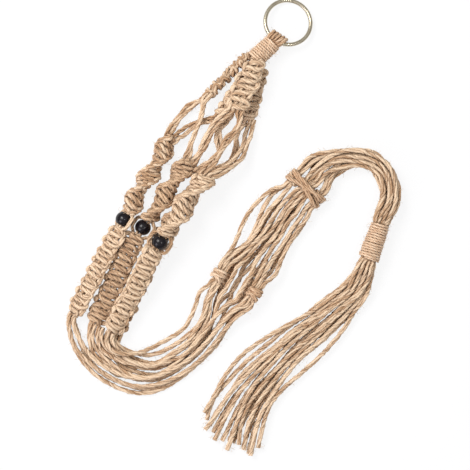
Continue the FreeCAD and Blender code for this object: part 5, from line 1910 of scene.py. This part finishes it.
# ---- beads and ring
def lathe(profile: list[tuple[float, float]], stand: Stand, segments: int = 64) -> bpy.types.Mesh:
    """Closed body turned from a profile.

    Args:
        profile: distance from the axis and distance along it, in millimetres, round the section.
        stand: the axis.
        segments: faces round it.

    Returns:
        The mesh, in metres.
    """
    points = []
    for reach, run in profile:
        for index in range(segments):
            angle = math.tau * index / segments
            points.append(metres(stand.at(reach * math.cos(angle), run, reach * math.sin(angle))))
    faces = []
    count = len(profile)
    for row in range(count):
        after = (row + 1) % count
        for index in range(segments):
            beside = (index + 1) % segments
            faces.append((row * segments + index, row * segments + beside,
                          after * segments + beside, after * segments + index))
    mesh = bpy.data.meshes.new("turned")
    mesh.from_pydata([tuple(point) for point in points], [], faces)
    return outward(mesh)


def outward(mesh: bpy.types.Mesh) -> bpy.types.Mesh:
    """Turn a closed mesh's faces outwards and shade it smooth."""
    shell = bmesh.new()
    shell.from_mesh(mesh)
    bmesh.ops.recalc_face_normals(shell, faces=shell.faces)
    if shell.calc_volume(signed=True) < 0:
        bmesh.ops.reverse_faces(shell, faces=shell.faces)
    shell.to_mesh(mesh)
    shell.free()
    mesh.shade_smooth()
    return mesh


def new_piece(name: str, mesh: bpy.types.Mesh, material: bpy.types.Material) -> bpy.types.Object:
    """A mesh as a piece of the scene, dressed."""
    mesh.materials.clear()
    mesh.materials.append(material)
    piece = bpy.data.objects.new(name, mesh)
    bpy.context.scene.collection.objects.link(piece)
    return piece


@dataclass
class Bead:
    """Turned wooden bead on a leg, with the two cords that pass round it."""

    leg: Leg
    bore: float = 4.0

    # the faced end's rim as a share of the bore, and the steps of the eased edge: share of the
    # bore and depth below the face
    RIM = 1.24
    EASING = ((1.16, -0.05), (1.06, 0.12), (1.0, 0.5))
    POINTS = 41
    # the cords round it: their radius in its solid, the room they leave and how low they lie
    SIDE_RADIUS = 1.85
    ROOM = 0.5
    NECK_ROOM = 0.1
    SIDE_HEIGHT = -1.2
    # way along the bead in half lengths, and distance from its axis as a share
    SIDE_ROUTE = ((-1.7, 0.2), (-1.25, 0.6), (-0.94, 0.95), (-0.7, 1.0), (-0.3, 1.05),
                  (0.3, 1.05), (0.7, 1.0), (0.94, 0.95), (1.25, 0.6), (1.7, 0.2))
    BULGING_PART = 0.8
    FILLER_AWAY = 1.95
    FILLER_OUT = 1.0
    FILLER_POINTS = 20
    ROPE_RADIUS = 2.0

    def profile(self) -> list[tuple[float, float]]:
        """Section of the bead: round outside, faced ends, eased edges and a straight bore.

        Returns:
            Distance from the axis and distance along it of each point.
        """
        outside = BEAD / 2
        limit = math.asin(self.RIM * self.bore / outside)
        section = [(outside * math.sin(angle), outside * math.cos(angle))
                   for angle in np.linspace(limit, math.pi - limit, self.POINTS)]
        face = outside * math.cos(limit)
        easing = [(share * self.bore, -face + depth) for share, depth in self.EASING]
        return section + easing + [(self.bore, 0.0)] + [(reach, -run) for reach, run in reversed(easing)]

    def make(self, wood: bpy.types.Material) -> bpy.types.Object:
        """Make the bead.

        Args:
            wood: its finish.

        Returns:
            The piece.
        """
        number = self.leg.number
        mesh = lathe(self.profile(), Stand(self.leg.bead_centre(), self.leg.end - self.leg.start))
        piece = new_piece(f"bead_{number}_turned", mesh, wood)
        return fit(piece, f"bead_{number}_body", Slot.WOOD, f"bead_{number}")

    def ropes(self) -> list[Rope]:
        """The fillers through the bead and the workers round it.

        Returns:
            One piece.
        """
        stand = Stand(self.leg.bead_centre(), self.leg.end - self.leg.start, self.leg.cord_roll)
        half = BEAD / 2 + BEAD_FLAT
        bulge = BEAD / 2 + self.SIDE_RADIUS + self.ROOM
        away = BEAD_NECK / 2 - self.SIDE_RADIUS + self.NECK_ROOM
        through = np.linspace(-half - self.FILLER_OUT, half + self.FILLER_OUT, self.FILLER_POINTS)
        lines = []
        for sign in (-1, 1):
            points = [stand.at(sign * share * (bulge if abs(run) < self.BULGING_PART else away), run * half,
                               self.SIDE_HEIGHT) for run, share in self.SIDE_ROUTE]
            lines.append(smooth_route(points, FINE_STEP))
            lines.append(metres(stand.at(sign * self.FILLER_AWAY, through, 0.0)))
        number = self.leg.number
        return [Rope(f"bead_{number}_side_ropes", lines, (f"bead_cords_{number}",), self.ROPE_RADIUS)]


@dataclass
class HangingRing:
    """Welded ring of round wire, which swings in the cord eye."""

    segments: int = 128
    sides: int = 28

    def make(self, metal: bpy.types.Material) -> bpy.types.Object:
        """Make the ring.

        Args:
            metal: its finish.

        Returns:
            The piece.
        """
        away = RING_BEARING * (-math.cos(RING_TILT)) - UP * math.sin(RING_TILT)
        axis = Stand(SWING_POINT + away * PIVOT_REACH, np.cross(away, SWING_AXIS))
        turns = [math.tau * side / self.sides for side in range(self.sides)]
        wire = [(RING_RADIUS + RING_WIRE * math.cos(turn), RING_WIRE * math.sin(turn)) for turn in turns]
        piece = new_piece("hanging_ring_wire", lathe(wire, axis, self.segments), metal)
        return fit(piece, "ring", Slot.METAL, "hanging_ring")


# ---- studio
@dataclass(frozen=True)
class Lamp:
    """A square soft lamp that shines on the middle of the planter, its sizes in metres."""

    name: str
    place: tuple[float, float, float]
    size: float
    power: float
    colour: Colour

    def make(self) -> None:
        """Add the lamp."""
        light = bpy.data.lights.new(self.name, "AREA")
        light.shape = "SQUARE"
        light.size = self.size
        light.energy = self.power
        light.color = self.colour
        holder = bpy.data.objects.new(self.name, light)
        turn = (-Vector(self.place)).to_track_quat("-Z", "Y").to_matrix().to_4x4()
        holder.matrix_world = Matrix.Translation(self.place) @ turn
        bpy.context.scene.collection.objects.link(holder)


@dataclass
class Studio:
    """White sweep, soft lamps and the camera looking straight down, in metres.

    The camera sees the view's width at the sharp height. The sky is its light at the horizon and
    how much more there is overhead.
    """

    camera_height: float = 1.9
    view_width: float = 0.470
    sharp_height: float = 0.008
    sensor: float = 36.0
    view_end: float = 20.0
    floor_half: float = 4.0
    floor_height: float = -0.0003
    sky: tuple[float, float] = (0.22, 0.42)
    lamps: tuple[Lamp, ...] = (
        Lamp("window", (-0.8, 0.7, 1.6), 0.8, 24.0, (1.0, 0.985, 0.96)),
        Lamp("glow", (-1.2, -0.7, 0.9), 0.7, 7.0, (0.92, 0.88, 1.0)),
        Lamp("spark", (0.55, -0.15, 1.5), 0.14, 2.5, (1.0, 1.0, 1.0)),
    )

    def make_camera(self) -> None:
        """Add the camera."""
        middle = metres((0.0, 0.0, 0.0))
        camera = bpy.data.cameras.new("camera")
        camera.sensor_width = self.sensor
        camera.lens = self.sensor * (self.camera_height - self.sharp_height) / self.view_width
        camera.clip_end = self.view_end
        holder = bpy.data.objects.new("camera", camera)
        holder.location = (middle[0], middle[1], self.camera_height)
        bpy.context.scene.collection.objects.link(holder)
        bpy.context.scene.camera = holder

    def make_floor(self) -> None:
        """Add the sweep."""
        half = self.floor_half
        plan = ((-half, -half), (half, -half), (half, half), (-half, half))
        mesh = bpy.data.meshes.new("floor")
        mesh.from_pydata([(x, y, self.floor_height) for x, y in plan], [], [(0, 1, 2, 3)])
        new_piece("floor", mesh, FloorFinish("white_sweep").build())

    def make_sky(self) -> None:
        """Add the world, white to the camera and dimmer to the planter."""
        world = bpy.data.worlds.new("studio")
        bpy.context.scene.world = world
        world.use_nodes = True
        world.node_tree.nodes.clear()
        graph = Graph(world.node_tree)
        seen = graph.node("ShaderNodeLightPath", {}, out="Is Camera Ray")
        up = graph.node("ShaderNodeTexCoord", {}, out="Generated")
        height = graph.node("ShaderNodeSeparateXYZ", {}, [up], out="Z")
        horizon, overhead = self.sky
        around = horizon + height.clamped() * overhead
        strength = around + seen * (1 - around)
        sky = graph.node("ShaderNodeBackground", {}, {"Color": (1.0, 1.0, 1.0, 1.0), "Strength": strength})
        graph.node("ShaderNodeOutputWorld", {}, {"Surface": sky})

    def make(self) -> None:
        """Add floor, world and lamps."""
        self.make_floor()
        self.make_sky()
        for lamp in self.lamps:
            lamp.make()
        bpy.context.scene.view_settings.view_transform = "Standard"


# ---- the whole planter
@dataclass
class Planter:
    """Everything tied of cord, from the tassel to the eye.

    The shaded yarn is a darker copy of the jute that paints shade on the two legs lying lowest, between and
    under the others, and the pale one is drawn tight and clean.
    """

    loom: Loom
    cord: Yarn
    shaded_yarn: Yarn
    pale: Yarn
    twine: Yarn

    # slant and offset along the strands of each turn
    CRADLE_TURNS = ((3.0, -2.6), (-2.6, -0.4), (1.8, 1.6), (-1.0, 3.6))
    GATHER_TURNS = ((3.0, -2.4), (-3.0, 0.4), (2.4, 2.8))
    BAND_TURNS = ((5.0, -2.4), (-4.0, -0.6), (3.0, 2.2))
    # half width and half depth of each kind of knot
    CRADLE_SIZE = (5.2, 4.2)
    ROW_SIZE = (8.0, 3.4)
    BUNCH_SIZE = (5.6, 4.8)
    BAND_SIZE = (20.5, 10.2)
    CRADLE_SHIFT = 2.8
    TIE_RADIUS = 2.2
    # where the upper whipping begins, past the swing axis
    UPPER_START = 4.0

    def tie_strands(self) -> None:
        """Take the long strands."""
        for layer in Layer:
            for lane in range(8):
                self.loom.take(self.cord, *Strand(layer, lane).ropes())

    def tie_top(self) -> None:
        """Take the net and the sennits above it."""
        for pair in NET:
            self.loom.take(self.cord, *pair.ropes())
        for sennit in TOP_SENNITS.values():
            self.loom.take(self.cord, *sennit.ropes())

    def tie_legs(self) -> None:
        """Take the legs."""
        for leg in LEGS.values():
            self.loom.take(self.shaded_yarn if leg.in_painted_shade else self.cord, *leg.sennits())
            self.loom.take(self.cord, *Bead(leg).ropes())

    def tie_knots(self) -> None:
        """Take both rows of cradle knots, and the band that gathers the second."""
        for node, station in CRADLE_KNOTS.items():
            shift = self.CRADLE_SHIFT if node.endswith("left") else -self.CRADLE_SHIFT
            knot = Lashing(node, station, *self.CRADLE_SIZE, self.CRADLE_TURNS, shift, self.TIE_RADIUS)
            self.loom.take(self.pale, *knot.ropes())
        for node, station in GATHER_KNOTS.items():
            size = self.ROW_SIZE if node in ("gather_knot_middle", "gather_knot_under") else self.BUNCH_SIZE
            self.loom.take(self.cord, *Lashing(node, station, *size, self.GATHER_TURNS).ropes())
        whole = gather_knot(vector(0, 0, 0), BETWEEN_LAYERS, {})
        band = Lashing("gather_knot_middle", whole, *self.BAND_SIZE, self.BAND_TURNS, 0.0, self.TIE_RADIUS,
                       "gather_band_ties")
        self.loom.take(self.pale, *band.ropes())

    def tie_wraps(self) -> None:
        """Take the whippings, the eye and the strands between them and the sennits."""
        upper = Whipping("upper_wrap", SWING_POINT + WRAP_HEADING * self.UPPER_START, WRAP_HEADING,
                         10, 8.4, 0.4, ("upper_wrap",))
        lower = Whipping("lower_wrap", LOWER_WRAP_START, LOWER_WRAP_HEADING,
                         14, 9.0, 1.6, ("lower_wrap", "lower_wrap_strands"))
        self.loom.take(self.twine, *upper.ropes(), *lower.ropes())
        self.loom.take(self.pale, *RingEye().ropes())
        self.loom.take(self.cord, *Crown().ropes())

    def make(self) -> None:
        """Take every rope, then spin them all."""
        self.tie_strands()
        self.tie_top()
        self.tie_legs()
        self.tie_knots()
        self.tie_wraps()
        self.loom.weave()


def main() -> None:
    """Build the planter and its studio."""
    logging.basicConfig(level=logging.INFO, format="%(name)s: %(message)s")
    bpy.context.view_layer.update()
    studio = Studio()
    studio.make_camera()
    jute = JuteFinish("jute", pale=(236, 209, 178), straw=(191, 153, 117), shade_streak_colour=(98, 62, 36))
    # darker copy of the jute for the low legs: painted shade
    shaded_jute = JuteFinish("jute_painted_shade", pale=(218, 186, 152), straw=(162, 122, 88), shade_streak_colour=(80, 48, 28))
    tight = JuteFinish("jute_tight", pale=(240, 212, 182), straw=(206, 169, 134), shade_streak_colour=(140, 100, 70))
    spun = JuteFinish("twine", pale=(248, 220, 190), straw=(227, 192, 159), shade_streak_colour=(188, 150, 118))
    fibre = FibreFinish("fibre", pale=(236, 212, 180), dark=(208, 174, 134))
    wood = WoodFinish("stained_wood", dark=(13, 9, 14), warm=(30, 21, 27)).build()
    brass = MetalFinish("pale_brass", bright=(206, 196, 174), dull=(160, 148, 126)).build()
    Planter(Loom(fibre.build()), *(Yarn(finish.build(), Slot.JUTE) for finish in (jute, shaded_jute, tight)),
            Yarn(spun.build(), Slot.TWINE, radius=TWINE / 2, lay=14.0)).make()
    for leg in LEGS.values():
        Bead(leg).make(wood)
    HangingRing().make(brass)
    studio.make()


if __name__ == "__main__":
    main()
